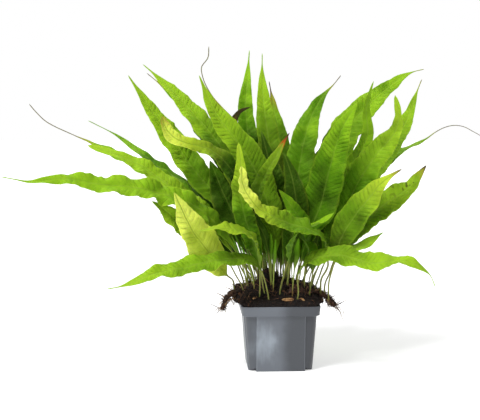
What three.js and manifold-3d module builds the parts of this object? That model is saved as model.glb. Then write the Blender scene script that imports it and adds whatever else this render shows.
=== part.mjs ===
// A java fern in a square nursery pot: the pot, the soil and root mass that fills it and stands above
// its rim, three creeping rhizomes, a few bark chips, and the fronds, whose stems stand in holes in
// the soil or in a rhizome. Millimetres, +Z up, +Y away from the viewer. The origin is the centre of
// the pot's underside, and the pot's sides face along X and Y.
import * as THREE from "three";
import { mergeVertices } from "three/addons/utils/BufferGeometryUtils.js";
import Module from "manifold-3d";

const wasm = await Module();
wasm.setup();

// Clearance that separate pieces keep
const GAP = 0.35;

// Pot: a thin moulded square pot with a rim band, proud side panels and set-back corner columns
const POT_HEIGHT = 67;
const RIM_HALF = 40.2;
const RIM_BAND = 10;
const BODY_TOP_HALF = 37.2;
const BASE_HALF = 32.6;
const PANEL_HALF = 24.2;
const PANEL_PROUD = 0.8;
const WALL = 1.2;
const FLOOR = 2.2;
const CORNER_RADIUS = 7;
const CORNER_STEPS = 3;
const DRAIN_RADIUS = 3.5;
const DRAIN_SPACING = 15;
const NOTCH = { width: 2.2, height: 3.2 };
const CORNER_LIFT = 2.4;

// Soil: the block in the pot and the lumpy crown that stands above and a little over the rim
const CROWN_HALF = 47.5;
const CROWN_FRONT = 37.6;
const CROWN_EDGE = 73;
const CROWN_TOP = 86;
const CROWN_LEVELS = [0.92, 0.8, 0.66, 0.5, 0.34, 0.17];
const CROWN_ROUGH = 2.3;
const CROWN_LIP = [
  { share: 0.95, drop: -1.2, inset: 0.2, rise: 0.9 },
  { share: 1.02, drop: 3, inset: 0.6, rise: 1.5 },
];
const MOUNDS = [
  { at: [-14, -2], reach: 11, rise: 21 },
  { at: [-31, -3], reach: 9, rise: 6 },
  { at: [22, 4], reach: 12, rise: 3 },
];

// Fronds
const STEM_RADIUS = 1.15;
const BURIED = 12;
const SLEEVE = 17;
const STEM_BARE = 44;
const STEM_STEPS = 3;
const BLADE_STEP = 13;
const MARGIN_THICK = 0.7;
const RIB_THICK = 1.9;
const TIP_HALF = 0.55;
const PLANT_TURN = THREE.MathUtils.degToRad(-3);
const FRONDS_APART = 4.6;
const SETTLE_ROUNDS = 160;

const UP = new THREE.Vector3(0, 0, 1);

// Seeded random numbers from 0 to 1
function randomFrom(seed) {
  let state = seed;
  return () => {
    state = (state + 0x6d2b79f5) | 0;
    let mixed = Math.imul(state ^ (state >>> 15), 1 | state);
    mixed = (mixed + Math.imul(mixed ^ (mixed >>> 7), 61 | mixed)) ^ mixed;
    return ((mixed ^ (mixed >>> 14)) >>> 0) / 4294967296;
  };
}

// A closed skin over rings of points. Each ring runs counter-clockwise about the way the loft goes.
// crossed(j) says which diagonal splits the quads that start at a ring's point j.
function loft(rings, crossed = () => false) {
  const count = rings[0].length;
  const middle = (ring) => ring.reduce((sum, p) => sum.add(p), new THREE.Vector3()).divideScalar(count);
  const points = rings.flat().concat([middle(rings[0]), middle(rings.at(-1))]);
  const first = points.length - 2;
  const last = points.length - 1;
  const faces = [];
  for (let j = 0; j < count; j++) {
    const k = (j + 1) % count;
    faces.push(first, k, j);
    for (let i = 0; i + 1 < rings.length; i++) {
      const [a, b, c, d] = [i * count + j, i * count + k, (i + 1) * count + k, (i + 1) * count + j];
      if (crossed(j)) faces.push(a, b, d, b, c, d);
      else faces.push(a, b, c, a, c, d);
    }
    const end = (rings.length - 1) * count;
    faces.push(last, end + j, end + k);
  }
  return new THREE.BufferGeometry().setFromPoints(points).setIndex(faces);
}

// three.js geometry to a manifold-3d solid, and back
function solidOf(geometry) {
  const bare = geometry.clone();
  bare.deleteAttribute("normal");
  bare.deleteAttribute("uv");
  const merged = mergeVertices(bare, 1e-4);
  return new wasm.Manifold(
    new wasm.Mesh({
      numProp: 3,
      vertProperties: new Float32Array(merged.attributes.position.array),
      triVerts: new Uint32Array(merged.index.array),
    }),
  );
}

function geometryOf(solid) {
  const mesh = solid.getMesh();
  return new THREE.BufferGeometry()
    .setAttribute("position", new THREE.BufferAttribute(mesh.vertProperties, 3))
    .setIndex(new THREE.BufferAttribute(mesh.triVerts, 1));
}

// The largest body of a solid, without the scraps that a cut can leave
function mainBody(solid) {
  return solid.decompose().reduce((best, body) => (body.volume() > best.volume() ? body : best));
}

// One level of the pot, counter-clockwise from above: a square with round corners, whose side panels
// stand proud of its corner columns by proud
function potRing(half, z, proud, radius = CORNER_RADIUS) {
  const column = half - proud;
  const corner = [];
  for (let i = 0; i <= CORNER_STEPS; i++) {
    const angle = ((i / CORNER_STEPS) * Math.PI) / 2;
    const at = column - radius;
    corner.push([at + radius * Math.cos(angle), at + radius * Math.sin(angle)]);
  }
  const side = [[half, -PANEL_HALF], [half, PANEL_HALF], [column, PANEL_HALF + proud * 0.6], ...corner,
    [PANEL_HALF + proud * 0.6, column]];
  const ring = [];
  for (let quarter = 0; quarter < 4; quarter++) {
    const turn = (quarter * Math.PI) / 2;
    for (const [x, y] of side) {
      ring.push(
        new THREE.Vector3(
          x * Math.cos(turn) - y * Math.sin(turn),
          x * Math.sin(turn) + y * Math.cos(turn),
          z,
        ),
      );
    }
  }
  return ring;
}

function bodyHalf(z) {
  return THREE.MathUtils.mapLinear(z, 0, POT_HEIGHT - RIM_BAND, BASE_HALF, BODY_TOP_HALF);
}

function pot() {
  const shoulder = POT_HEIGHT - RIM_BAND;
  const outside = [
    potRing(BASE_HALF - 0.8, 0, PANEL_PROUD, 4.5),
    potRing(BASE_HALF, 1, PANEL_PROUD, 5),
    potRing(BODY_TOP_HALF, shoulder, PANEL_PROUD),
    potRing(RIM_HALF - 0.9, shoulder + 0.6, 0.1, 8),
    potRing(RIM_HALF - 0.1, POT_HEIGHT - 0.7, 0.1, 8),
    potRing(RIM_HALF - 0.5, POT_HEIGHT, 0.1, 8),
  ];
  const inside = [
    potRing(RIM_HALF - WALL, POT_HEIGHT, 0.1, 7.5),
    potRing(RIM_HALF - 0.9 - WALL, shoulder + 1.2, 0.1, 7.5),
    potRing(BODY_TOP_HALF - WALL, shoulder - 0.6, PANEL_PROUD, 6),
    potRing(bodyHalf(FLOOR) - WALL, FLOOR, PANEL_PROUD, 4),
  ];
  let shell = solidOf(loft([...outside, ...inside]));
  const cut = (geometry) => {
    shell = shell.subtract(solidOf(geometry));
  };
  for (const [sx, sy] of [[1, 1], [-1, 1], [-1, -1], [1, -1]]) {
    const drain = new THREE.CylinderGeometry(DRAIN_RADIUS, DRAIN_RADIUS, 3 * FLOOR, 16);
    cut(drain.rotateX(Math.PI / 2).translate(sx * DRAIN_SPACING, sy * DRAIN_SPACING, 0));
    // A notch on each side of the corner column, and the column's foot lifted clear of the ground
    const notchAt = PANEL_HALF + 1.6;
    const reach = BASE_HALF;
    cut(new THREE.BoxGeometry(NOTCH.width, 8, 2 * NOTCH.height).translate(sx * notchAt, sy * reach, 0));
    cut(new THREE.BoxGeometry(8, NOTCH.width, 2 * NOTCH.height).translate(sx * reach, sy * notchAt, 0));
    const foot = new THREE.BoxGeometry(12, 12, 2 * CORNER_LIFT);
    cut(foot.translate(sx * (PANEL_HALF + 7), sy * (PANEL_HALF + 7), 0));
  }
  return mainBody(shell);
}

// Lumps in the soil: a sum of a few waves, from -1 to 1
function lumps(x, y, size) {
  const [a, b] = [x / size, y / size];
  return (
    (Math.sin(2.1 * a + 1.3) * Math.cos(1.7 * b - 0.4) +
      Math.sin(3.9 * a - 2.6 * b) * 0.6 +
      Math.cos(5.3 * b + 2.2 * a + 0.8) * 0.4) /
    2
  );
}

// How far the crown spills over the rim at a bearing round the pot: not at the front, wholly elsewhere
function spill(bearing) {
  return 1 - THREE.MathUtils.smoothstep(-Math.sin(bearing), 0.45, 0.8);
}

// The crown's edge as a rounded square, a little uneven, at a bearing
function crownReach(bearing) {
  const [c, s] = [Math.abs(Math.cos(bearing)), Math.abs(Math.sin(bearing))];
  const uneven = 1.6 * Math.sin(5 * bearing + 1) + 1.5 * Math.sin(9 * bearing + 2);
  const half = Math.sin(bearing) < 0 ? CROWN_FRONT : CROWN_HALF;
  return 1 / ((c / CROWN_HALF) ** 5 + (s / half) ** 5) ** 0.2 + uneven * spill(bearing);
}

// Height of the soil's surface over a point
function soilTop(x, y) {
  const bearing = Math.atan2(y, x);
  const share = Math.min(1, Math.hypot(x, y) / crownReach(bearing));
  const edge = THREE.MathUtils.lerp(POT_HEIGHT + 1.5, CROWN_EDGE, spill(bearing));
  const steep = THREE.MathUtils.lerp(1.4, 2.4, spill(bearing));
  const dome = CROWN_TOP - (CROWN_TOP - edge) * share ** steep;
  const mound = ({ at, reach, rise }) =>
    rise * Math.exp(-(Math.hypot(x - at[0], y - at[1]) ** 2) / reach ** 2);
  const mounds = MOUNDS.reduce((sum, row) => sum + mound(row), 0);
  return dome + mounds + CROWN_ROUGH * lumps(x, y, 8) * Math.min(1, 4 * (1.1 - share));
}

function soil() {
  const shoulder = POT_HEIGHT - RIM_BAND;
  const inner = (half, z, proud, radius) => potRing(half - WALL - GAP, z, proud, radius);
  const mouth = inner(RIM_HALF, POT_HEIGHT + GAP, 0.1, 7.2);
  const overRim = potRing(RIM_HALF + 0.8, POT_HEIGHT + GAP + 0.1, 0.1, 8.5);
  const rings = [
    inner(bodyHalf(FLOOR), FLOOR + GAP, PANEL_PROUD, 3.8),
    inner(BODY_TOP_HALF, shoulder - 0.8, PANEL_PROUD, 5.8),
    inner(RIM_HALF - 0.9, shoulder + 1.6, 0.1, 7.2),
    mouth,
  ];
  const bearings = mouth.map((p) => Math.atan2(p.y, p.x));
  const pointAt = (bearing, reach, z) =>
    new THREE.Vector3(reach * Math.cos(bearing), reach * Math.sin(bearing), z);
  // From the mouth the skin turns out over the rim and down where it spills, and goes up elsewhere
  rings.push(mouth.map((p, i) => p.clone().setZ(p.z + 0.3).lerp(overRim[i], spill(bearings[i]))));
  for (const { share, drop, rise, inset } of CROWN_LIP) {
    rings.push(
      bearings.map((bearing, i) => {
        const kept = Math.hypot(mouth[i].x, mouth[i].y) - inset;
        const spilt = share * crownReach(bearing);
        const reach = THREE.MathUtils.lerp(kept, spilt, spill(bearing));
        const droop = drop + 1.2 * lumps(9 * bearing, 4 * share, 7);
        const height = THREE.MathUtils.lerp(rise, droop, spill(bearing) ** 4);
        return pointAt(bearing, reach, POT_HEIGHT + height);
      }),
    );
  }
  for (const share of CROWN_LEVELS) {
    rings.push(
      bearings.map((bearing) => {
        const point = pointAt(bearing, share * crownReach(bearing), 0);
        return point.setZ(soilTop(point.x, point.y));
      }),
    );
  }
  return solidOf(loft(rings));
}

// A rhizome: a stout knobbly stem along a curve. grow widens it, which gives the cutter for its bed
function rhizome({ route, radius, knobs }, grow = 0) {
  const curve = new THREE.CatmullRomCurve3(route.map((p) => new THREE.Vector3(...p)));
  const steps = 11;
  const sides = 8;
  const frames = curve.computeFrenetFrames(steps, false);
  const rings = [];
  for (let i = 0; i <= steps; i++) {
    const t = i / steps;
    const blunt = Math.sqrt(Math.max(0.12, Math.sin(Math.PI * (0.04 + 0.92 * t))));
    const centre = curve.getPointAt(t);
    if (grow) centre.addScaledVector(frames.tangents[i], i === 0 ? -grow : i === steps ? grow : 0);
    const ring = [];
    for (let j = 0; j < sides; j++) {
      const angle = (j / sides) * 2 * Math.PI;
      const swell = 0.16 * Math.sin(knobs * t * 2 * Math.PI + 2 * angle);
      const knob = swell + 0.08 * Math.sin(3 * angle + 9 * t);
      const reach = radius * blunt * (1 + knob) + grow;
      ring.push(
        centre
          .clone()
          .addScaledVector(frames.normals[i], reach * Math.cos(angle))
          .addScaledVector(frames.binormals[i], reach * Math.sin(angle)),
      );
    }
    rings.push(ring);
  }
  return solidOf(loft(rings));
}

const RHIZOMES = {
  rhizome_left: {
    route: [[-31, -8.5, 80], [-38, -9.5, 80.5], [-46, -10.5, 78.5], [-54, -11.5, 72], [-58, -12, 60]],
    radius: 3.5,
    knobs: 4,
  },
  rhizome_right: {
    route: [[32, -17, 78.5], [38, -18.5, 78.5], [44, -20.2, 76], [50, -22, 71.5], [55, -23.5, 64.5]],
    radius: 4,
    knobs: 4,
  },
  rhizome_front: {
    route: [[6, -23, 78], [13, -21, 81], [20, -21, 81], [28, -24, 77]],
    radius: 3.1,
    knobs: 3,
  },
};

// A bark chip: a thin uneven slab. Its bed in the soil is the same slab, grown
const CHIPS = {
  chip_1: { at: [7, -33], size: [12, 5, 2.4], turn: 0.15, sides: 7 },
  chip_2: { at: [20, -32.5], size: [7, 4, 2], turn: -0.4, sides: 6 },
  chip_3: { at: [-26, -30], size: [7, 4.5, 2.2], turn: 0.9, sides: 6 },
};

function chip({ at, size, turn, sides }, grow = 0) {
  const [x, y] = at;
  const z = soilTop(x, y) + 1.2;
  const rings = [-1, 0.4, 1].map((level) => {
    const ring = [];
    for (let j = 0; j < sides; j++) {
      const angle = (j / sides) * 2 * Math.PI;
      const uneven = (level === 1 ? 0.78 : 1) * (1 + 0.14 * Math.sin(2.3 * j + 1));
      const point = new THREE.Vector3(
        (size[0] / 2) * uneven * Math.cos(angle) + grow * Math.cos(angle) * 1.4,
        (size[1] / 2) * uneven * Math.sin(angle) + grow * Math.sin(angle) * 1.4,
        (size[2] / 2 + grow) * level,
      );
      ring.push(point.applyAxisAngle(UP, turn).add(new THREE.Vector3(x, y, z)));
    }
    return ring;
  });
  return solidOf(loft(rings));
}

// The fronds that can be told apart from the front. root is where the stem stands, as across and away,
// with a height where it stands in a rhizome. path is where the stem and blade then go, as across,
// away and up: across and up are read on the upright plane through the pot's centre, along lines from
// EYE, and away is the depth behind that plane. wide is the blade's greatest width, and face the way
// that its upper side looks. bare is the stem's length before the blade, tail the share of the blade
// that is a thread, wave the height of its margins' waves, fold how far its halves rise from the rib,
// and twist its turn about the rib from stem to tip in degrees.
const EYE = { across: -39.5, away: -1146, up: 260 };
const FRONDS = {
  frond_left_long: {
    root: [-24, -12],
    path: [[-50, -16, 128], [-82, -34, 162], [-115, -46, 176], [-149, -58, 184], [-183, -68, 187],
      [-218, -78, 193], [-252, -88, 190], [-284, -96, 195]],
    wide: 21, face: [0.1, -1, 0.6], wave: 3.8, tail: 0.05,
  },
  frond_left_tail: {
    root: [-22, 8],
    path: [[-56, 8, 140], [-98, 22, 182], [-136, 34, 202], [-183, 48, 226], [-208, 56, 237],
      [-238, 64, 252], [-254, 68, 269]],
    wide: 18, face: [0.1, -0.8, 0.8], wave: 2.2, tail: 0.24,
  },
  frond_left_fold: {
    root: [-30, -2],
    path: [[-50, -4, 122], [-80, -2, 160], [-114, 0, 187], [-139, 4, 205], [-169, 8, 219],
      [-195, 12, 227]],
    wide: 20, face: [0.2, -0.9, 0.7], wave: 2.4, tail: 0.03,
  },
  frond_left_narrow: {
    root: [-26, 16],
    path: [[-48, 24, 132], [-76, 38, 167], [-107, 54, 193], [-133, 66, 213], [-167, 82, 238],
      [-194, 94, 252]],
    wide: 16, face: [-0.3, -0.3, 1], wave: 1.6, tail: 0.1,
  },
  frond_left_tall: {
    root: [-12, 14],
    path: [[-26, 18, 124], [-52, 24, 160], [-78, 26, 190], [-102, 28, 223], [-114, 28, 240],
      [-126, 28, 257], [-153, 26, 298]],
    wide: 29, face: [0.5, -1, 0.3], wave: 1.8, tail: 0.02, bare: 36,
  },
  frond_left_top: {
    root: [-8, 4],
    path: [[-20, 8, 140], [-40, 14, 194], [-62, 22, 229], [-91, 32, 263], [-110, 40, 284],
      [-138, 50, 309]],
    wide: 27, face: [0.4, -1, 0.4], wave: 1.8, tail: 0.03, bare: 38,
  },
  frond_left_top_back: {
    root: [-18, 24],
    path: [[-30, 38, 150], [-58, 54, 214], [-88, 72, 256], [-110, 84, 280], [-134, 96, 300]],
    wide: 24, face: [0.4, -1, 0.4], wave: 1.8, tail: 0.05,
  },
  frond_left_yellow_tip: {
    root: [-4, -16],
    path: [[-14, -22, 134], [-30, -32, 172], [-47, -40, 200], [-64, -46, 219], [-83, -50, 227],
      [-102, -54, 232], [-115, -56, 244], [-119, -58, 257]],
    wide: 17, face: [0.1, -1, 0.5], wave: 2.8, tail: 0.02,
  },
  frond_mid_left_tall: {
    root: [-2, -4],
    path: [[-6, -4, 140], [-22, -6, 196], [-39, -8, 226], [-56, -10, 248], [-68, -12, 266],
      [-81, -14, 298]],
    wide: 31, face: [0.3, -1, 0.1], wave: 1.6, tail: 0.02, bare: 34,
  },
  frond_mid_left_thread: {
    root: [-4, 22],
    path: [[-12, 28, 150], [-34, 42, 215], [-58, 56, 262], [-76, 70, 292], [-78, 78, 308], [-70, 82, 319],
      [-71, 84, 327]],
    wide: 24, face: [0.3, -1, 0.1], wave: 1.6, tail: 0.26, bare: 36,
  },
  frond_top_left: {
    root: [4, 26],
    path: [[-6, 36, 146], [-22, 48, 196], [-31, 60, 236], [-34, 72, 268], [-32, 84, 294], [-30, 96, 323]],
    wide: 23, face: [0, -1, 0.1], wave: 1.4, tail: 0.03, bare: 34,
  },
  frond_top_mid: {
    root: [10, 18],
    path: [[2, 22, 150], [-6, 30, 200], [-11, 36, 236], [-15, 42, 264], [-17, 48, 290], [-17, 54, 320]],
    wide: 26, face: [0.1, -1, 0.1], wave: 1.4, tail: 0.04, bare: 32,
  },
  frond_top_dark: {
    root: [14, 32],
    path: [[10, 46, 150], [5, 66, 210], [-4, 86, 258], [-10, 104, 292]],
    wide: 24, face: [0.2, -1, 0.2], wave: 1.8, tail: 0.04, bare: 34,
  },
  frond_mid_brown_curl: {
    root: [-12, 6],
    path: [[-12, 14, 148], [-26, 20, 210], [-42, 26, 240], [-46, 28, 252], [-40, 26, 261], [-29, 22, 266]],
    wide: 19, face: [0.2, -1, 0.2], wave: 1.2, tail: 0, bare: 34,
  },
  frond_mid_brown_tip: {
    root: [-16, -6],
    path: [[-20, -16, 134], [-22, -26, 174], [-14, -34, 196], [0, -44, 220], [11, -52, 240]],
    wide: 15, face: [-0.5, -1, 0.2], wave: 0.9, tail: 0, fold: 0.5, bare: 34,
  },
  frond_right_mid_tall: {
    root: [12, 8],
    path: [[14, 10, 138], [20, 20, 196], [26, 30, 232], [33, 40, 256], [44, 50, 276], [55, 56, 288],
      [63, 60, 298]],
    wide: 32, face: [-0.2, -1, 0.1], wave: 1.4, tail: 0.08, bare: 33,
  },
  frond_right_quilted: {
    root: [18, -6],
    path: [[30, -10, 126], [43, -16, 166], [49, -20, 192], [56, -24, 218], [64, -28, 243], [80, -32, 271]],
    wide: 37, face: [-0.2, -1, 0.1], wave: 1.3, tail: 0, bare: 34,
  },
  frond_right_twisted: {
    root: [22, 10],
    path: [[42, 10, 146], [64, 14, 190], [84, 16, 222], [91, 14, 242], [89, 12, 258], [90, 8, 272],
      [96, 4, 292]],
    wide: 17, face: [0.1, -1, 0.1], wave: 1.6, tail: 0, twist: 20, bare: 36,
  },
  frond_right_top: {
    root: [24, 18],
    path: [[34, 24, 134], [46, 34, 186], [58, 44, 222], [73, 52, 249], [90, 60, 267], [109, 68, 284],
      [130, 76, 299], [147, 82, 304]],
    wide: 34, face: [-0.2, -1, 0.2], wave: 1.6, tail: 0.04,
  },
  frond_right_top_outer: {
    root: [30, 6],
    path: [[50, 14, 136], [84, 26, 186], [112, 36, 222], [130, 44, 252], [139, 50, 278], [145, 54, 294]],
    wide: 25, face: [-0.4, -1, 0.2], wave: 1.4, tail: 0.04,
  },
  frond_right_light_tip: {
    root: [30, -6],
    path: [[50, -6, 122], [66, -8, 156], [82, -10, 190], [100, -12, 218], [117, -14, 238], [122, -18, 254],
      [118, -22, 278]],
    wide: 31, face: [-0.3, -1, 0.2], wave: 1.8, tail: 0.04,
  },
  frond_right_thin_tail: {
    root: [34, 14],
    path: [[56, 26, 140], [84, 38, 182], [105, 50, 203], [122, 60, 219], [148, 76, 232], [166, 88, 244],
      [184, 98, 247], [207, 108, 236]],
    wide: 15, face: [-0.5, -0.7, 1], wave: 1.2, tail: 0.26,
  },
  frond_right_dark_tip: {
    root: [34, 0],
    path: [[54, 4, 122], [74, 10, 143], [95, 16, 157], [115, 20, 171], [134, 24, 185], [151, 28, 207]],
    wide: 31, face: [-0.4, -1, 0.6], wave: 1.8, tail: 0,
  },
  frond_right_broad_light: {
    root: [50, -23, 70],
    path: [[53, -30, 90], [58, -40, 116], [66, -48, 136], [78, -54, 154], [92, -60, 172], [107, -66, 190],
      [126, -72, 203]],
    wide: 29, face: [-0.4, -1, 0.3], wave: 1.6, tail: 0.06,
  },
  frond_right_small: {
    root: [46, -19, 72],
    path: [[51, -16, 92], [60, -12, 113], [74, -6, 122], [92, 0, 128], [108, 6, 138]],
    wide: 12, face: [-0.1, -0.8, 1], wave: 1.2, tail: 0,
  },
  frond_right_low: {
    root: [16, -29],
    path: [[22, -42, 100], [36, -54, 112], [54, -62, 115], [74, -68, 112], [92, -74, 106], [108, -80, 107],
      [125, -84, 109], [142, -88, 104], [155, -90, 95], [162, -92, 81]],
    wide: 21, face: [0, -0.9, 0.8], wave: 3, tail: 0.06, bare: 40,
  },
  frond_left_low: {
    root: [-10, -30],
    path: [[-18, -42, 98], [-34, -52, 110], [-60, -60, 109], [-84, -68, 105], [-104, -74, 100],
      [-121, -80, 97], [-139, -86, 91], [-157, -90, 83], [-177, -95, 79]],
    wide: 20, face: [0, -0.9, 0.8], wave: 2.8, tail: 0.05,
  },
  frond_left_pale: {
    root: [-45, -10, 74],
    path: [[-56, -24, 96], [-66, -38, 110], [-77, -50, 124], [-88, -60, 139], [-98, -70, 158],
      [-107, -80, 179]],
    wide: 34, face: [0.3, -1, 0.3], wave: 1.4, tail: 0, bare: 26,
  },
  frond_left_low_behind: {
    root: [-34, -14],
    path: [[-54, -20, 110], [-78, -26, 130], [-104, -34, 148], [-116, -42, 160], [-130, -50, 170]],
    wide: 22, face: [0.2, -1, 0.6], wave: 3, tail: 0,
  },
  frond_front_pale_curl: {
    root: [42, -20, 77],
    path: [[52, -26, 104], [46, -37, 124], [27, -52, 137], [5, -64, 149], [-19, -74, 161], [-30, -80, 173],
      [-37, -82, 188], [-38, -82, 206]],
    wide: 19, face: [0.2, -1, 0.6], wave: 2.2, tail: 0, bare: 40,
  },
  frond_mid_crinkled: {
    root: [-12, -22],
    path: [[-24, -30, 122], [-34, -38, 155], [-39, -44, 186], [-39, -48, 212], [-41, -50, 230]],
    wide: 20, face: [-0.1, -1, 0.1], wave: 3.2, tail: 0, bare: 34,
  },
  frond_mid_light_fold: {
    root: [30, -25],
    path: [[36, -25, 108], [30, -25, 136], [17, -28, 159], [0, -28, 182]],
    wide: 21, face: [0.3, -1, 0.4], wave: 2, tail: 0, fold: 0.25, bare: 36,
  },
  frond_front_facing: {
    root: [0, -22],
    path: [[10, -27, 106], [24, -31, 128], [40, -32, 144], [57, -33, 158]],
    wide: 20, face: [-0.4, -0.6, 1], wave: 1.2, tail: 0,
  },
  frond_front_flat: {
    root: [-20, -27],
    path: [[-20, -38, 114], [-30, -52, 134], [-56, -66, 142], [-84, -80, 139]],
    wide: 17, face: [0, -0.5, 1], wave: 1.6, tail: 0.02,
  },
  frond_left_dark_low: {
    root: [-34, 6],
    path: [[-44, 10, 108], [-58, 14, 124], [-82, 18, 134], [-106, 24, 138]],
    wide: 18, face: [0, -0.6, 1], wave: 2.2, tail: 0,
  },
  frond_mid_right_dark: {
    root: [8, -14],
    path: [[14, -14, 122], [20, -14, 158], [14, -14, 194], [5, -14, 220]],
    wide: 25, face: [0, -1, 0.1], wave: 2, tail: 0, bare: 32,
  },
  frond_mid_dark: {
    root: [2, 10],
    path: [[2, 6, 132], [-2, 4, 178], [-10, 6, 212], [-18, 8, 242]],
    wide: 24, face: [0, -1, 0.1], wave: 2, tail: 0, bare: 30,
  },
  frond_mid_low_left: {
    root: [-21, 0],
    path: [[-27, 6, 112], [-40, 12, 146], [-56, 14, 178], [-70, 14, 212]],
    wide: 32, face: [0.1, -1, 0.2], wave: 2.4, tail: 0, bare: 32,
  },
  frond_mid_low_inner: {
    root: [-7, -10],
    path: [[-10, -4, 112], [-14, 2, 138], [-22, 6, 164], [-26, 8, 190]],
    wide: 30, face: [0.1, -1, 0.2], wave: 2.4, tail: 0, bare: 32,
  },
  frond_mid_low_centre: {
    root: [7, 2],
    path: [[8, 2, 112], [10, 2, 138], [10, 2, 166], [8, 2, 192]],
    wide: 28, face: [-0.1, -1, 0.2], wave: 2.2, tail: 0, bare: 32,
  },
  frond_mid_low_right: {
    root: [24, -14],
    path: [[28, -6, 108], [36, 2, 132], [40, 8, 160], [46, 12, 188]],
    wide: 29, face: [-0.2, -1, 0.2], wave: 2.2, tail: 0, bare: 32,
  },
};

// The fronds behind those, which lean away and outwards like the rays of a fan. Those that lean
// straight away lean most, from is the first one's bearing, and step the turn from one to the next
const BACK_TIERS = [
  { count: 6, from: 40, step: 20, ring: 33, lean: 34, more: 30, length: 168, wide: 26 },
  { count: 5, from: 46, step: 22, ring: 25, lean: 24, more: 20, length: 195, wide: 28 },
];
const BACK_SEED = 41;

function backFronds() {
  const random = randomFrom(BACK_SEED);
  const spread = (size) => size * (random() - 0.5);
  const rows = {};
  BACK_TIERS.forEach(({ count, from, step, ring, lean, more, length, wide }, tier) => {
    for (let i = 0; i < count; i++) {
      const bearing = THREE.MathUtils.degToRad(from + step * i + spread(11));
      const tilt = THREE.MathUtils.degToRad(lean + more * Math.sin(bearing) + spread(14));
      const reach = length * (1 + spread(0.4));
      const foot = ring + spread(3);
      const path = [0.25, 0.5, 0.76, 1].map((share) => {
        const bend = tilt * (0.5 + 0.62 * share);
        const out = foot + reach * share * Math.sin(bend);
        const up = CROWN_EDGE + reach * share * Math.cos(bend);
        return [out * Math.cos(bearing), out * Math.sin(bearing), up];
      });
      rows[`frond_back_${tier + 1}_${i + 1}`] = {
        root: [foot * Math.cos(bearing), foot * Math.sin(bearing)],
        path,
        wide: wide * (1 + spread(0.3)),
        face: [-Math.cos(bearing), -Math.sin(bearing), 0.8],
        wave: 2 + spread(1.4),
        tail: 0.04 + 0.1 * random(),
        twist: spread(50),
      };
    }
  });
  return rows;
}

// Half the blade's width along it, from 0 at the stem to 1 at the tip, as a share of its widest
function bladeShape(t, tail) {
  const body = Math.min(1, t / (1 - tail));
  const lance = body ** 0.85 * (1 - body) ** 1.05;
  return lance / (0.447 ** 0.85 * 0.553 ** 1.05);
}

// The point at a depth that hides or is hidden by a point of the upright plane, seen from EYE
function alongSight([across, away, up]) {
  const far = (away - EYE.away) / -EYE.away;
  return [EYE.across + (across - EYE.across) * far, away, EYE.up + (up - EYE.up) * far];
}

// A frond as stations along its rib. Each has its place, the way its upper side looks, and its sizes
function frondStations(row, index) {
  const { root, path, wide, face, wave, tail, fold = 0.12, bare = STEM_BARE } = row;
  const random = randomFrom(1000 + index);
  const twist = row.twist ?? 36 * (random() - 0.5);
  const turned = ([x, y, z]) => new THREE.Vector3(x, y, z).applyAxisAngle(UP, PLANT_TURN);
  const foot = turned([root[0], root[1], root[2] ?? 0]);
  if (root[2] === undefined) foot.z = soilTop(foot.x, foot.y) - BURIED;
  const points = path.map(turned);
  const lean = points[0].clone().sub(foot).setZ(0).multiplyScalar(0.22).clampLength(0, 5);
  const neck = foot.clone().add(lean).setZ(foot.z + SLEEVE);
  const curve = new THREE.CatmullRomCurve3([neck, ...points], false, "centripetal");
  const length = curve.getLength();
  const bladeSteps = Math.max(9, Math.round((length + SLEEVE - bare) / BLADE_STEP));
  const distances = [0];
  for (let i = 0; i < STEM_STEPS; i++) distances.push(SLEEVE + ((bare - SLEEVE) * i) / STEM_STEPS);
  for (let i = 0; i <= bladeSteps; i++) distances.push(bare + ((length + SLEEVE - bare) * i) / bladeSteps);
  const waves = (length + SLEEVE - bare) / (28 + 8 * random());
  const phase = [2 * Math.PI * random(), 2 * Math.PI * random()];
  const turnAll = THREE.MathUtils.degToRad(twist);
  const stations = distances.map((distance) => {
    const t = Math.max(0, (distance - bare) / (length + SLEEVE - bare));
    const share = bladeShape(t, tail);
    const swing = wave * Math.min(1, 1.6 * share);
    const ripple = (side) => swing * Math.sin(2 * Math.PI * waves * t + phase[side]);
    return {
      place: distance ? curve.getPointAt(Math.min(1, (distance - SLEEVE) / length)) : foot,
      free: THREE.MathUtils.smoothstep(distance, SLEEVE, SLEEVE + 40),
      half: Math.max(t > 0 ? TIP_HALF : STEM_RADIUS * 0.87, (wide / 2) * share),
      thick: THREE.MathUtils.lerp(RIB_THICK, MARGIN_THICK, t ** 0.7),
      blade: THREE.MathUtils.smoothstep(t, 0, 0.08),
      lift: [0, 1].map((side) => fold * (wide / 2) * share + ripple(side)),
      roll: turnAll * (t - 0.6),
    };
  });
  return { stations, face: turned(face).normalize(), radius: STEM_RADIUS * (0.85 + 0.3 * random()) };
}

// The rib's direction and the blade's upper and right-hand directions at each station. They start
// from face at the blade's middle and are carried both ways along the rib without turning about it
function frondFrames({ stations, face }) {
  const count = stations.length;
  const along = stations.map((s, i) => {
    const [a, b] = [stations[Math.max(0, i - 1)].place, stations[Math.min(count - 1, i + 1)].place];
    return b.clone().sub(a).normalize();
  });
  const flattened = (v, i) => v.clone().addScaledVector(along[i], -v.dot(along[i])).normalize();
  const upper = [];
  const middle = Math.round(count * 0.6);
  upper[middle] = flattened(face, middle);
  for (let i = middle + 1; i < count; i++) upper[i] = flattened(upper[i - 1], i);
  for (let i = middle - 1; i >= 0; i--) upper[i] = flattened(upper[i + 1], i);
  return stations.map((s, i) => {
    const up = upper[i].applyAxisAngle(along[i], s.roll);
    return { along: along[i], up, right: up.clone().cross(along[i]) };
  });
}

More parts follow.
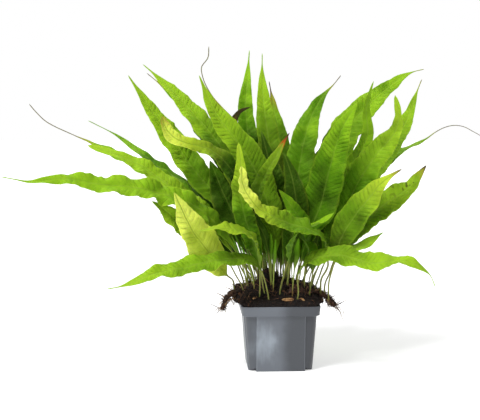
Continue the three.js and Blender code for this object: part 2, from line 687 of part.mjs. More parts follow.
// A ring of six points at each station: right margin, rib and left margin above, then the same below.
// On the stem they are a hexagon, which widens and flattens into the blade. grow gives a hole's cutter
function frondRings(frond, grow = 0) {
  const frames = frondFrames(frond);
  return frond.stations.map((s, i) => {
    const { along, up, right } = frames[i];
    const round = frond.radius + grow;
    const stem = [30, 90, 150, 210, 270, 330].map((degrees) => {
      const angle = THREE.MathUtils.degToRad(degrees);
      return [round * Math.cos(angle), round * Math.sin(angle)];
    });
    const edge = MARGIN_THICK / 2;
    const rib = s.thick / 2;
    const blade = [
      [s.half, s.lift[0] + edge], [0, rib], [-s.half, s.lift[1] + edge],
      [-s.half, s.lift[1] - edge], [0, -rib], [s.half, s.lift[0] - edge],
    ];
    const slide = grow && i === 0 ? -grow : 0;
    return stem.map(([x, y], j) => {
      const across = THREE.MathUtils.lerp(x, blade[j][0], s.blade);
      const above = THREE.MathUtils.lerp(y, blade[j][1], s.blade);
      return s.place
        .clone()
        .addScaledVector(right, across)
        .addScaledVector(up, above)
        .addScaledVector(along, slide);
    });
  });
}

// Points spread over a frond, each with its station, its side of the rib from -1 to 1, and the blade's
// half width and upper direction there
function spreadPoints(frond, f) {
  const frames = frondFrames(frond);
  const dots = [];
  frond.stations.forEach((s, i) => {
    const next = frond.stations[i + 1] ?? s;
    for (const part of next === s ? [0] : [0, 0.5]) {
      const half = THREE.MathUtils.lerp(s.half, next.half, part);
      const each = Math.ceil(half / 4.5);
      for (let n = half < 2 ? 0 : -each; n <= (half < 2 ? 0 : each); n++) {
        const side = n / each;
        const k = side > 0 ? 0 : 1;
        const lift = Math.abs(side) * THREE.MathUtils.lerp(s.lift[k], next.lift[k], part);
        const p = s.place.clone().lerp(next.place, part);
        p.addScaledVector(frames[i].right, side * half).addScaledVector(frames[i].up, lift);
        dots.push({ f, i, p, side, half, up: frames[i].up, free: s.free });
      }
    }
  });
  return dots;
}

// The points sorted into cubes, by the number of each cube
const CUBE = FRONDS_APART;
function cubeOf(x, y, z) {
  return ((x + 512) * 1024 + y + 512) * 1024 + z + 512;
}

function sortIntoCubes(dots) {
  const cubes = new Map();
  for (const dot of dots) {
    const { x, y, z } = dot.p;
    dot.cube = [Math.floor(x / CUBE), Math.floor(y / CUBE), Math.floor(z / CUBE)];
    const at = cubeOf(...dot.cube);
    if (!cubes.has(at)) cubes.set(at, []);
    cubes.get(at).push(dot);
  }
  return cubes;
}

// Calls meet(a, b, way, distance) for each pair of points of different fronds that come too near
function eachMeeting(dots, cubes, meet) {
  const way = new THREE.Vector3();
  for (const dot of dots) {
    if (!dot.free) continue;
    const [x, y, z] = dot.cube;
    for (let cell = 0; cell < 27; cell++) {
      const [dx, dy, dz] = [cell % 3, Math.floor(cell / 3) % 3, Math.floor(cell / 9)];
      for (const other of cubes.get(cubeOf(x - 1 + dx, y - 1 + dy, z - 1 + dz)) ?? []) {
        if (other.f === dot.f) continue;
        way.subVectors(dot.p, other.p);
        const distance = way.length();
        if (distance < FRONDS_APART && distance > 1e-6) meet(dot, other, way, distance);
      }
    }
  }
}

// The mean of each item and its neighbours, with blend(a, b, c) to weigh them
function evenOut(list, blend) {
  const last = list.length - 1;
  return list.map((item, i) => blend(list[Math.max(0, i - 1)], item, list[Math.min(last, i + 1)]));
}

// Bends the fronds clear of each other. Points spread over every frond push those of other fronds
// that come too near. Two fronds push each other along one way, the mean of their meetings, so that
// they part without crossing. A push moves its station, and turns it about the rib where it acts on a
// margin. Roots stay, and each frond's pushes are evened out along it so that it bends as one
function settle(fronds, still) {
  const stillDots = still.map((p) => ({ f: -1, i: 0, p, side: 0, half: 1, up: UP, free: 0 }));
  for (let round = 0; round < SETTLE_ROUNDS; round++) {
    const dots = fronds.flatMap(spreadPoints).concat(stillDots);
    const cubes = sortIntoCubes(dots);
    const ways = new Map();
    eachMeeting(dots, cubes, (a, b, way, distance) => {
      const pair = a.f * 1000 + b.f;
      if (!ways.has(pair)) ways.set(pair, new THREE.Vector3());
      ways.get(pair).addScaledVector(way, 1 / distance);
    });
    for (const way of ways.values()) way.normalize();
    const atRest = () => ({ shift: new THREE.Vector3(), turn: 0, hits: 0 });
    const moves = fronds.map((frond) => frond.stations.map(atRest));
    eachMeeting(dots, cubes, (a, b, way, distance) => {
      const push = way.divideScalar(distance).lerp(ways.get(a.f * 1000 + b.f), 0.6);
      push.multiplyScalar(FRONDS_APART - distance);
      const move = moves[a.f][a.i];
      move.shift.add(push);
      move.turn -= (push.dot(a.up) * a.side) / a.half;
      move.hits += 1;
    });
    fronds.forEach((frond, f) => {
      let shifts = moves[f].map(({ shift, hits }) => shift.divideScalar(Math.max(1, hits)));
      let turns = moves[f].map(({ turn, hits }) => turn / Math.max(1, hits));
      for (let pass = 0; pass < 3; pass++) {
        shifts = evenOut(shifts, (a, b, c) => a.clone().add(c).addScaledVector(b, 2).divideScalar(4));
        turns = evenOut(turns, (a, b, c) => (a + 2 * b + c) / 4);
      }
      frond.stations.forEach((s, i) => {
        s.place.addScaledVector(shifts[i], s.free * 0.8);
        s.roll += THREE.MathUtils.clamp(turns[i] * s.free * 0.25, -0.05, 0.05);
      });
    });
  }
}

// Points on the crown and the rim that the fronds keep clear of
function stillPoints() {
  const points = [];
  for (let i = 0; i < 48; i++) {
    const bearing = (i / 48) * 2 * Math.PI;
    for (const share of [1.03, 0.9]) {
      const reach = Math.max(RIM_HALF, share * crownReach(bearing));
      const [x, y] = [reach * Math.cos(bearing), reach * Math.sin(bearing)];
      points.push(new THREE.Vector3(x, y, share > 1 ? POT_HEIGHT + 2 : CROWN_EDGE));
    }
  }
  return points;
}

const COLOURS = {
  frond: "#5f9e1f",
  pale: "#b4cf4a",
  pot: "#6f747b",
  soil: "#2a1d14",
  rhizome: "#4a2f1c",
  chip: "#c08a45",
};
const PALE = ["frond_left_pale", "frond_front_pale_curl", "frond_front_flat", "frond_left_yellow_tip"];

function finish(colour, roughness) {
  return new THREE.MeshStandardMaterial({ color: colour, roughness, metalness: 0 });
}

function buildPlant() {
  const group = new THREE.Group();
  const addPiece = (name, geometry, material) => {
    const mesh = new THREE.Mesh(geometry, material);
    mesh.name = name;
    group.add(mesh);
  };

  const placed = ([name, row]) => [name, { ...row, path: row.path.map(alongSight) }];
  const rows = [...Object.entries(FRONDS).map(placed), ...Object.entries(backFronds())];
  const fronds = rows.map(([, row], index) => frondStations(row, index));
  settle(fronds, stillPoints());

  const holes = fronds.map((frond) => solidOf(loft(frondRings(frond, GAP).slice(0, 2))));
  const beds = [
    ...Object.values(RHIZOMES).map((row) => rhizome(row, GAP)),
    ...Object.values(CHIPS).map((row) => chip(row, GAP)),
  ];
  const cleared = (solid, cutters) =>
    mainBody(cutters.reduce((left, cutter) => left.subtract(cutter), solid).simplify(0.05));

  addPiece("pot", geometryOf(pot()), finish(COLOURS.pot, 0.45));
  addPiece("soil", geometryOf(cleared(soil(), [...holes, ...beds])), finish(COLOURS.soil, 0.95));
  for (const [name, row] of Object.entries(RHIZOMES)) {
    addPiece(name, geometryOf(cleared(rhizome(row), holes)), finish(COLOURS.rhizome, 0.8));
  }
  for (const [name, row] of Object.entries(CHIPS)) {
    addPiece(name, geometryOf(cleared(chip(row), holes)), finish(COLOURS.chip, 0.8));
  }
  const likeBelow = (j) => j === 1 || j === 4;
  rows.forEach(([name], index) => {
    const colour = PALE.includes(name) ? COLOURS.pale : COLOURS.frond;
    addPiece(name, loft(frondRings(fronds[index]), likeBelow), finish(colour, 0.5));
  });
  return group;
}

const plant = buildPlant();

export default plant;
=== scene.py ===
import math
import random

import bmesh
import bpy
import numpy as np
from mathutils import Matrix, Vector, noise
from mathutils.bvhtree import BVHTree


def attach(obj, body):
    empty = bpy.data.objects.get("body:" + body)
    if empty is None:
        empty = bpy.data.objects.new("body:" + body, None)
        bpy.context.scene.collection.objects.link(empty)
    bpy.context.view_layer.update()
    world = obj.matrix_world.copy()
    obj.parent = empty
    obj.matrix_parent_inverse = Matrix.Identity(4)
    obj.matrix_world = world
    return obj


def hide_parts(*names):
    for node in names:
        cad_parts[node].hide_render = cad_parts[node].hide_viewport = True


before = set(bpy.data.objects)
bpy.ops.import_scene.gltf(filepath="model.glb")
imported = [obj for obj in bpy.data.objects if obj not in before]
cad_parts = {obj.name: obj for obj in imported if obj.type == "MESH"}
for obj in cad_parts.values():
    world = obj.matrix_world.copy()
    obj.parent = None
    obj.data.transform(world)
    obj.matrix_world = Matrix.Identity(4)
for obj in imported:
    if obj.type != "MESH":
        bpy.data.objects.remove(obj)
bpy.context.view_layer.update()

# The camera stands a little to the left of the pot's front wall and slightly above the rim,
# far enough back that the whole spread of the fronds fits the frame.
scene = bpy.context.scene
camera_turn = math.radians(-3)
camera_rise = math.radians(5)
camera_away = 1.150
aim_side, aim_up = -0.0395, 0.1608
aim = Vector((aim_side * math.cos(camera_turn), aim_side * math.sin(camera_turn), aim_up))
sight = Vector(
    (
        math.sin(camera_turn) * math.cos(camera_rise),
        -math.cos(camera_turn) * math.cos(camera_rise),
        math.sin(camera_rise),
    )
)
camera = bpy.data.objects.new("front_camera", bpy.data.cameras.new("front_camera"))
camera.data.lens = 84.15
camera.data.sensor_width = 36
camera.location = aim + sight * camera_away
camera.rotation_euler = sight.to_track_quat("Z", "Y").to_euler()
scene.collection.objects.link(camera)
scene.camera = camera


# The floor is a wide matt sheet of opal glass, lit from below. Its material is the first that
# nodes are built for, so the two classes that write node trees stand here.
class Wire:
    """One output of a node, which adds, subtracts, multiplies and divides like a number."""

    def __init__(self, tree, socket):
        self.tree = tree
        self.socket = socket

    def math(self, operation, other=0.0):
        return self.tree.add("ShaderNodeMath", {"operation": operation}, {0: self, 1: other})

    def __add__(self, other):
        return self.math("ADD", other)

    __radd__ = __add__

    def __sub__(self, other):
        return self.math("SUBTRACT", other)

    def __rsub__(self, other):
        return self.tree.add("ShaderNodeMath", {"operation": "SUBTRACT"}, {0: other, 1: self})

    def __mul__(self, other):
        return self.math("MULTIPLY", other)

    __rmul__ = __mul__

    def __truediv__(self, other):
        return self.math("DIVIDE", other)

    def __rtruediv__(self, other):
        return self.tree.add("ShaderNodeMath", {"operation": "DIVIDE"}, {0: other, 1: self})

    def rise(self, low, high):
        """0 below low, 1 above high, and a smooth step between."""
        settings = {"interpolation_type": "SMOOTHSTEP"}
        return self.tree.add("ShaderNodeMapRange", settings, {"Value": self, 1: low, 2: high})

    def fall(self, low, high):
        return 1 - self.rise(low, high)

    def parts(self):
        made = self.tree.make("ShaderNodeSeparateXYZ", {}, {0: self})
        return [Wire(self.tree, out) for out in made.outputs]


class Tree:
    """Adds nodes to a node tree: the kind, then its settings, then its sockets."""

    def __init__(self, nodes):
        self.nodes = nodes

    def make(self, kind, settings, sockets):
        node = self.nodes.nodes.new(kind)
        for name, value in settings.items():
            setattr(node, name, value)
        for name, value in sockets.items():
            if isinstance(value, Wire):
                self.nodes.links.new(value.socket, node.inputs[name])
            else:
                node.inputs[name].default_value = value
        return node

    def add(self, kind, settings=None, sockets=None, out=0):
        node = self.make(kind, settings or {}, sockets or {})
        return Wire(self, node.outputs[out])

    def mix(self, share, first, second):
        settings = {"data_type": "RGBA", "blend_type": "MIX", "clamp_factor": True}
        return self.add("ShaderNodeMix", settings, {0: share, 6: first, 7: second}, out=2)

    def layered(self, base, *coats):
        """Colours laid over a base one after another, each as far as its mask says."""
        for share, tone in coats:
            base = self.mix(share, base, tone)
        return base

    def vector(self, operation, first, second):
        return self.add("ShaderNodeVectorMath", {"operation": operation}, {0: first, 1: second})

    def length(self, vector):
        return self.add("ShaderNodeVectorMath", {"operation": "LENGTH"}, {0: vector}, out="Value")

    def join(self, x, y, z):
        return self.add("ShaderNodeCombineXYZ", {}, {0: x, 1: y, 2: z})

    def noise(self, where, scale, detail=2.0, rough=0.5):
        sockets = {"Vector": where, "Scale": scale, "Detail": detail, "Roughness": rough}
        return self.add("ShaderNodeTexNoise", {}, sockets)

    def place(self):
        return self.add("ShaderNodeTexCoord", out="Object")

    def attribute(self, name):
        return self.add("ShaderNodeAttribute", {"attribute_name": name}, out="Vector")

    def bump(self, height, strength, depth):
        sockets = {"Height": height, "Strength": strength, "Distance": depth}
        return self.add("ShaderNodeBump", {}, sockets)


def finish(name, sockets):
    """A material whose one shader gets its constants and its wires from sockets."""
    material = bpy.data.materials.new(name)
    material.use_nodes = True
    tree = Tree(material.node_tree)
    shader = material.node_tree.nodes["Principled BSDF"]
    for socket, value in sockets(tree).items():
        if isinstance(value, Wire):
            material.node_tree.links.new(value.socket, shader.inputs[socket])
        else:
            shader.inputs[socket].default_value = value
    return material


def opal(tree):
    speck = tree.noise(tree.place(), 30.0)
    return {
        "Base Color": tree.mix(speck, (0.60, 0.60, 0.60, 1), (0.62, 0.62, 0.62, 1)),
        "Roughness": 0.9,
        "Specular IOR Level": 0.1,
        "Emission Color": (1, 1, 1, 1),
        "Emission Strength": 0.55,
    }


def piece_with(name, mesh):
    """A new object in the scene that holds a mesh."""
    piece = bpy.data.objects.new(name, mesh)
    scene.collection.objects.link(piece)
    return piece


def piece_of(name, points, faces):
    """A new object with a smooth mesh of its own."""
    mesh = bpy.data.meshes.new(name)
    mesh.from_pydata([tuple(point) for point in points], [], [tuple(face) for face in faces])
    mesh.shade_smooth()
    return piece_with(name, mesh)


floor_reach = 9.0
corners = [(sx * floor_reach, sy * floor_reach, 0) for sx, sy in ((-1, -1), (1, -1), (1, 1), (-1, 1))]
floor = piece_of("studio_floor", corners, [(0, 1, 2, 3)])
floor.data.materials.append(finish("opal_glass", opal))

# The light is that of a white studio: one large soft lamp high in front at the left, a weaker
# one above and behind, white walls and a dimmer ceiling. The picture keeps its tones as they
# are, without a film curve.
scene.view_settings.view_transform = "Standard"
world = bpy.data.worlds.new("white_studio")
world.use_nodes = True
room = Tree(world.node_tree)
height = room.add("ShaderNodeTexCoord", out="Generated").parts()[2]
dimmed = 1 - 0.68 * height.rise(0.16, 0.45)
world.node_tree.nodes["Background"].inputs["Color"].default_value = (1, 1, 1, 1)
world.node_tree.links.new(dimmed.socket, world.node_tree.nodes["Background"].inputs["Strength"])
scene.world = world


def sun_lamp(name, way, softness, power):
    lamp = bpy.data.objects.new(name, bpy.data.lights.new(name, "SUN"))
    lamp.data.angle = math.radians(softness)
    lamp.data.energy = power
    lamp.rotation_euler = Vector(way).to_track_quat("Z", "Y").to_euler()
    scene.collection.objects.link(lamp)


sun_lamp("front_lamp", (-0.60, -0.62, 1.2), 20, 3.6)
sun_lamp("back_lamp", (0.5, 0.7, 1.5), 40, 0.7)

# The pot is a thin injection-moulded nursery pot, square and tapered, of grey satin plastic.
# Its walls have a raised panel between corner columns, under a band that stands out as a rim.
# Its sizes are in mm.
pot_height = 67.0
rim_half = 40.2
rim_band = 10.0
body_top_half = 37.2
base_half = 32.6
panel_half = 24.2
panel_proud = 1.1
wall = 1.2
pot_floor = 2.2
foot_lift = 2.4
notch_out = 1.6
notch_size = (2.2, 8, 6.4)
drain_out = 15
drain_radius = 3.5


def outline(half, proud, radius, bow=0.0):
    """The pot's square outline with round corners, wall by wall from the right one."""

    def step_down(share):
        return half - proud * (3 * share**2 - 2 * share**3), panel_half + 0.8 * share

    side = [(half + bow * (1 - share**2), panel_half * share) for share in np.linspace(-1, 1, 9)]
    side += [step_down(share) for share in (0.35, 0.7, 1.0)]
    at = half - proud - radius
    for step in range(11):
        angle = step / 10 * math.pi / 2
        side.append((at + radius * math.cos(angle), at + radius * math.sin(angle)))
    side += [step_down(share)[::-1] for share in (1.0, 0.7, 0.35)]
    ring = []
    for quarter in range(4):
        turn = quarter * math.pi / 2
        for x, y in side:
            ring.append((x * math.cos(turn) - y * math.sin(turn), x * math.sin(turn) + y * math.cos(turn)))
    return ring


def body_half(z):
    return base_half + (body_top_half - base_half) * z / (pot_height - rim_band)


def band(low, high, count, turned=False):
    """Quads between two rings of points, from the number of each ring's first point."""
    quads = []
    for at in range(count):
        after = (at + 1) % count
        a, b, c, d = low + at, low + after, high + after, high + at
        quads.append((a, d, c, b) if turned else (a, b, c, d))
    return quads


def shell(rings):
    """The points and faces of rings of the same count, closed at both ends by flat fans."""
    count = len(rings[0])
    points = [point for ring in rings for point in ring]
    faces = []
    for row in range(len(rings) - 1):
        faces += band(row * count, (row + 1) * count, count)
    for ring, flip in ((0, True), (len(rings) - 1, False)):
        middle = len(points)
        points.append(np.mean(np.array(rings[ring]), axis=0))
        for at in range(count):
            edge = (ring * count + at, ring * count + (at + 1) % count)
            faces.append((edge[1], edge[0], middle) if flip else (edge[0], edge[1], middle))
    return points, faces


def level(z, half, proud, radius, bow=0.0):
    return [(x, y, z) for x, y in outline(half, proud, radius, bow)]


shoulder = pot_height - rim_band
outside = [
    level(0.0, base_half - 0.75, panel_proud, 4.6),
    level(0.25, base_half - 0.3, panel_proud, 4.8),
    level(1.0, base_half, panel_proud, 5.0),
]
for z in np.linspace(4, shoulder - 0.5, 14):
    outside.append(level(z, body_half(z), panel_proud, 5.0 + 2 * z / shoulder, 0.25))
outside += [
    level(shoulder, body_top_half + 0.25, panel_proud * 0.8, 7.2, 0.2),
    level(shoulder + 0.25, rim_half - 1.3, 0.15, 8.0),
    level(shoulder + 0.7, rim_half - 0.9, 0.1, 8.0),
    level(shoulder + 5.0, rim_half - 0.5, 0.1, 8.0),
    level(pot_height - 1.0, rim_half - 0.12, 0.1, 8.0),
    level(pot_height - 0.3, rim_half - 0.2, 0.1, 8.0),
    level(pot_height, rim_half - 0.5, 0.1, 8.0),
]
inside = [
    level(pot_height, rim_half - wall + 0.2, 0.1, 7.5),
    level(pot_height - 0.4, rim_half - wall, 0.1, 7.5),
    level(shoulder + 1.4, rim_half - 0.9 - wall, 0.1, 7.5),
    level(shoulder + 0.2, body_top_half - wall + 0.4, panel_proud, 6.5),
    level(shoulder - 0.6, body_top_half - wall, panel_proud, 6.0),
    level(pot_floor + 1.5, body_half(pot_floor) - wall, panel_proud, 4.5),
    level(pot_floor, body_half(pot_floor) - wall - 1.2, panel_proud, 4.0),
]
pot = piece_of("pot_shell", *shell(outside + inside))


def block(at, size):
    corner = [(x, y, z) for z in (-1, 1) for y in (-1, 1) for x in (-1, 1)]
    points = [[a + s / 2 * c for a, s, c in zip(at, size, way)] for way in corner]
    faces = [(0, 2, 3, 1), (4, 5, 7, 6), (0, 1, 5, 4), (2, 6, 7, 3), (0, 4, 6, 2), (1, 3, 7, 5)]
    return points, faces


def drill(at, radius, depth):
    rings = []
    for z in (-depth, depth):
        ring = []
        for step in range(32):
            angle = step / 32 * 2 * math.pi
            ring.append((at[0] + radius * math.cos(angle), at[1] + radius * math.sin(angle), z))
        rings.append(ring)
    return shell(rings)


notch, column_foot = panel_half + notch_out, panel_half + 7
wide, deep, tall = notch_size
cutters = []
for sx, sy in ((1, 1), (-1, 1), (-1, -1), (1, -1)):
    cutters.append(drill((drain_out * sx, drain_out * sy), drain_radius, 6))
    cutters.append(block((sx * notch, sy * base_half, 0), (wide, deep, tall)))
    cutters.append(block((sx * base_half, sy * notch, 0), (deep, wide, tall)))
    cutters.append(block((sx * column_foot, sy * column_foot, 0), (12, 12, 2 * foot_lift)))


def settle(piece, modifier):
    """Keeps what a modifier makes of a piece as the piece's plain mesh."""
    graph = bpy.context.evaluated_depsgraph_get()
    mesh = bpy.data.meshes.new_from_object(
        piece.evaluated_get(graph), preserve_all_data_layers=True, depsgraph=graph
    )
    piece.modifiers.remove(modifier)
    piece.data = mesh


for points, faces in cutters:
    tool = piece_of("pot_cutter", points, faces)
    cut = pot.modifiers.new("cut", "BOOLEAN")
    cut.operation = "DIFFERENCE"
    cut.solver = "MANIFOLD"
    cut.object = tool
    settle(pot, cut)
    bpy.data.objects.remove(tool)
pot.data.transform(Matrix.Scale(0.001, 4))


def by_angle(piece, degrees):
    """Smooth shading that leaves edges sharper than an angle crisp."""
    rounded = bmesh.new()
    rounded.from_mesh(piece.data)
    for face in rounded.faces:
        face.smooth = True
    for edge in rounded.edges:
        edge.smooth = edge.calc_face_angle(0.0) < math.radians(degrees)
    rounded.to_mesh(piece.data)
    rounded.free()


by_angle(pot, 32)


def grey_plastic(tree):
    place = tree.place()
    cloud = tree.noise(place, 34.0, 3.0, 0.55)
    streak = tree.noise(tree.vector("MULTIPLY", place, (1, 1, 0.2)), 210.0, 3.0, 0.6)
    scuff = tree.noise(tree.vector("MULTIPLY", place, (1, 1, 0.25)), 420.0, 4.0, 0.6)
    grain = tree.noise(place, 2600.0, 2.0)
    across, away, up = place.parts()
    # The left half of the pot is painted lighter than the base tone, as painted light from the lamp at the
    # left.
    painted_light_left = (across + 0.016 * (cloud - 0.5)).fall(-0.003, 0.012)
    # A soft pale patch on the front wall, left of the middle and about halfway up, is a painted
    # reflection.
    reflection_spread = tree.join(across + 0.018 + 0.050 * (cloud - 0.5), (away + 0.036) * 0.5, 0.7 * (up - 0.031))
    painted_reflection = (tree.length(reflection_spread) + 0.016 * (streak - 0.5)).fall(-0.002, 0.019)
    corner = across.math("ABSOLUTE").math("MINIMUM", away.math("ABSOLUTE"))
    under_rim = up.fall(shoulder / 1000 - 0.001, shoulder / 1000)
    edge = panel_half / 1000
    # The corner columns below the rim are painted darker, a little more on the right: painted shade.
    column = corner.rise(edge + 0.0004, edge + 0.0012) * under_rim
    # A thin lighter line along the panel edges below the rim is a painted highlight.
    edge_highlight = corner.rise(edge - 0.0006, edge - 0.0001) * corner.fall(edge + 0.0001, edge + 0.0006)
    return {
        "Base Color": tree.layered(
            (0.048, 0.053, 0.062, 1),
            (painted_light_left, (0.106, 0.118, 0.138, 1)),
            (painted_reflection * 0.70, (0.285, 0.325, 0.370, 1)),
            (column * (0.45 + 0.10 * across.rise(-0.01, 0.01)), (0.022, 0.024, 0.029, 1)),
            (edge_highlight * under_rim * 0.35, (0.230, 0.250, 0.280, 1)),
            (scuff.rise(0.60, 0.80) * 0.14, (0.16, 0.17, 0.17, 1)),
        ),
        "Roughness": 0.30 + 0.14 * cloud + 0.12 * scuff,
        "Specular IOR Level": 0.5,
        "Normal": tree.bump(cloud * 0.8 + grain * 0.05, 0.35, 0.0006),
    }


pot.data.materials.clear()
pot.data.materials.append(finish("grey_plastic", grey_plastic))
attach(pot, "root")
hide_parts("pot")

# The soil is a dark, fibrous mix of peat and bark that fills the pot and swells over its rim in
# loose lumps. Its outside is felt for from beyond it, so that the holes of the stems don't show.
soil_turns = 210
soil_rows = 74
soil_lean = math.radians(78.5)
soil_gap = 0.4
# The point that the rays are sent towards, and how far from it they start, in metres.
soil_eye = Vector((0.0, 0.0, 0.060))
beyond = 0.2


def merged(node):
    """A copy of a frame solid with its loose triangles joined."""
    copy = bmesh.new()
    copy.from_mesh(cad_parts[node].data)
    bmesh.ops.remove_doubles(copy, verts=copy.verts, dist=2e-5)
    return copy


soil_solid = merged("soil")
soil_tree = BVHTree.FromBMesh(soil_solid)


def reach_of_soil(way):
    """How far the soil reaches from its eye in a direction, or None past its rim."""
    start = soil_eye + way * beyond
    hit = soil_tree.ray_cast(start, -way)[0]
    return None if hit is None else (hit - soil_eye).length


def way_of(turn, lean):
    return Vector((math.cos(turn) * math.sin(lean), math.sin(turn) * math.sin(lean), math.cos(lean)))


soil_turn_of = [at / soil_turns * 2 * math.pi for at in range(soil_turns)]
soil_lean_of = [(0.01 + row / (soil_rows - 1)) * soil_lean for row in range(soil_rows)]
ways = [[way_of(turn, lean) for turn in soil_turn_of] for lean in soil_lean_of]
reach = np.array([[reach_of_soil(way) or 0.0 for way in row] for row in ways])


def without_holes(values):
    """Each value raised to a high one of its neighbours where it lies deep below them."""
    near = []
    for down in range(-3, 4):
        rows = np.clip(np.arange(len(values)) + down, 0, len(values) - 1)
        for side in range(-3, 4):
            near.append(np.roll(values[rows], side, axis=1))
    high = np.percentile(np.array(near), 70, axis=0)
    return np.where(values < high - 0.0012, high, values)


for _ in range(3):
    reach = without_holes(reach)


def lump(point, size, seed):
    return noise.noise(Vector(point) * (1 / size) + Vector((seed, 0, 0)))


soil_points = []
for row, lean in enumerate(soil_lean_of):
    for at, turn in enumerate(soil_turn_of):
        way = way_of(turn, lean)
        place = soil_eye + way * reach[row][at]
        swell = 0.0024 * lump(place, 0.0068, 3.0) + 0.0015 * lump(place, 0.0027, 9.0)
        clod = max(0.0, lump(place, 0.011, 21.0)) * 0.0062
        soil_points.append(place + way * (swell + clod) * min(1.0, 1.6 * (1.02 - row / soil_rows)))
soil_faces = []
for row in range(soil_rows - 1):
    soil_faces += band(row * soil_turns, (row + 1) * soil_turns, soil_turns, turned=True)
soil_points.append(soil_eye + Vector((0, 0, reach[0].mean())))
soil_faces += [(at, (at + 1) % soil_turns, len(soil_points) - 1) for at in range(soil_turns)]
soil_walls = [
    (pot_height - soil_gap, rim_half - wall - soil_gap),
    (shoulder + 1.5, rim_half - 0.9 - wall - soil_gap),
    (shoulder - 1.0, body_top_half - wall - soil_gap),
    (pot_floor + soil_gap, body_half(pot_floor) - wall - soil_gap),
]
upper, first_wall = (soil_rows - 1) * soil_turns, len(soil_points)
for z, half in soil_walls:
    for turn in soil_turn_of:
        x, y = math.cos(turn), math.sin(turn)
        out = half / 1000 / (abs(x) ** 9 + abs(y) ** 9) ** (1 / 9)
        soil_points.append(Vector((x * out, y * out, z / 1000)))
for lower in range(first_wall, len(soil_points), soil_turns):
    soil_faces += band(upper, lower, soil_turns, turned=True)
    upper = lower
soil_points.append(Vector((0, 0, (pot_floor + soil_gap) / 1000)))
for at in range(soil_turns):
    soil_faces.append((upper + at, len(soil_points) - 1, upper + (at + 1) % soil_turns))
soil = piece_of("soil_ball", soil_points, soil_faces)


def towards_sides(place, low, high):
    """0 in the middle of the object and 1 towards its left and its right."""
    return place.parts()[0].math("ABSOLUTE").rise(low, high)


def peat(tree):
    place = tree.place()
    clods = tree.noise(place, 160.0, 4.0, 0.65)
    fibres = tree.noise(tree.vector("MULTIPLY", place, (1, 1, 0.35)), 900.0, 3.0, 0.7)
    crumbs = tree.add("ShaderNodeTexVoronoi", {}, {"Vector": place, "Scale": 620.0})
    outer = towards_sides(place, 0.012, 0.034)
    return {
        "Base Color": tree.layered(
            (0.003, 0.002, 0.002, 1),
            (clods.rise(0.35, 0.7), (0.012, 0.008, 0.006, 1)),
            (fibres.rise(0.50, 0.75) * outer * 0.8, (0.060, 0.026, 0.013, 1)),
            (clods.rise(0.62, 0.8) * outer * 0.6, (0.100, 0.045, 0.022, 1)),
        ),
        "Roughness": 0.85 - 0.2 * fibres,
        "Specular IOR Level": 0.2,
        "Normal": tree.bump(fibres + crumbs * 0.5 + clods, 0.9, 0.0012),
    }


soil.data.materials.append(finish("dark_peat", peat))
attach(soil, "root")
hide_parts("soil")

# Crumbs of peat and bark lie loose all over the soil, and fine dry fibres stick out of it. Both
# are scattered over the soil's skin and bent a little out of shape, each by its own place.


def node_tree(name, inputs):
    """A Geometry Nodes tree with named inputs: its Tree, its wires in, and a call that ends it."""
    group = bpy.data.node_groups.new(name, "GeometryNodeTree")
    for way in ("INPUT", "OUTPUT"):
        group.interface.new_socket("Geometry", in_out=way, socket_type="NodeSocketGeometry")
    for label, value in inputs.items():
        kind = "NodeSocketInt" if isinstance(value, int) else "NodeSocketFloat"
        group.interface.new_socket(label, in_out="INPUT", socket_type=kind).default_value = value
    group.interface.new_socket("Finish", in_out="INPUT", socket_type="NodeSocketMaterial")
    tree = Tree(group)
    source = group.nodes.new("NodeGroupInput")
    wires = {out.name: Wire(tree, out) for out in source.outputs if out.name}

    def close(geometry):
        real = tree.add("GeometryNodeRealizeInstances", {}, {"Geometry": geometry})
        dressed = tree.add("GeometryNodeSetMaterial", {}, {"Geometry": real, "Material": wires["Finish"]})
        target = group.nodes.new("NodeGroupOutput")
        group.links.new(dressed.socket, target.inputs["Geometry"])

    return tree, wires, close


def grown(piece, tree, values):
    """Runs a node tree on a piece and keeps what it makes as the piece's plain mesh."""
    modifier = piece.modifiers.new("grow", "NODES")
    modifier.node_group = tree.nodes
    for item in tree.nodes.interface.items_tree:
        if item.in_out == "INPUT" and item.name in values:
            modifier[item.identifier] = values[item.name]
    settle(piece, modifier)
    return piece


def named(tree, name):
    return tree.add("GeometryNodeInputNamedAttribute", {"data_type": "FLOAT_VECTOR"}, {"Name": name})


def scatter(tree, given, density, upright):
    """Points over a skin, with the way that it faces, on its parts above a height."""
    height = tree.add("GeometryNodeInputPosition").parts()[2]
    chosen = height.math("GREATER_THAN", given["Lowest"])
    spread = tree.make(
        "GeometryNodeDistributePointsOnFaces",
        {"distribute_method": "RANDOM"},
        {"Mesh": given["Geometry"], "Selection": chosen, "Density": density, "Seed": given["Seed"]},
    )
    points, facing = Wire(tree, spread.outputs["Points"]), Wire(tree, spread.outputs["Normal"])
    turn = tree.add("FunctionNodeAlignRotationToVector", {"axis": upright}, {"Vector": facing})
    return points, turn


def chance(tree, kind, low, high, seed):
    """A number or a vector drawn for each point between two limits."""
    least, most, drawn = {"FLOAT": (2, 3, 1), "FLOAT_VECTOR": (0, 1, 0)}[kind]
    sockets = {least: low, most: high, "Seed": seed}
    return tree.add("FunctionNodeRandomValue", {"data_type": kind}, sockets, out=drawn)


def tilted(tree, turn, low, high, seed):
    """A facing that is turned further by an amount drawn for each point."""
    more = chance(tree, "FLOAT_VECTOR", low, high, seed)
    return tree.add("FunctionNodeRotateRotation", {"rotation_space": "LOCAL"}, {0: turn, 1: more})


def sown(tree, points, shape, turn, size):
    """The same shape set on every point, and made real."""
    sockets = {"Points": points, "Instance": shape, "Rotation": turn, "Scale": size}
    instances = tree.add("GeometryNodeInstanceOnPoints", {}, sockets)
    return tree.add("GeometryNodeRealizeInstances", {}, {"Geometry": instances})


def scaled(tree, vector, by):
    return tree.add("ShaderNodeVectorMath", {"operation": "SCALE"}, {0: vector, "Scale": by})


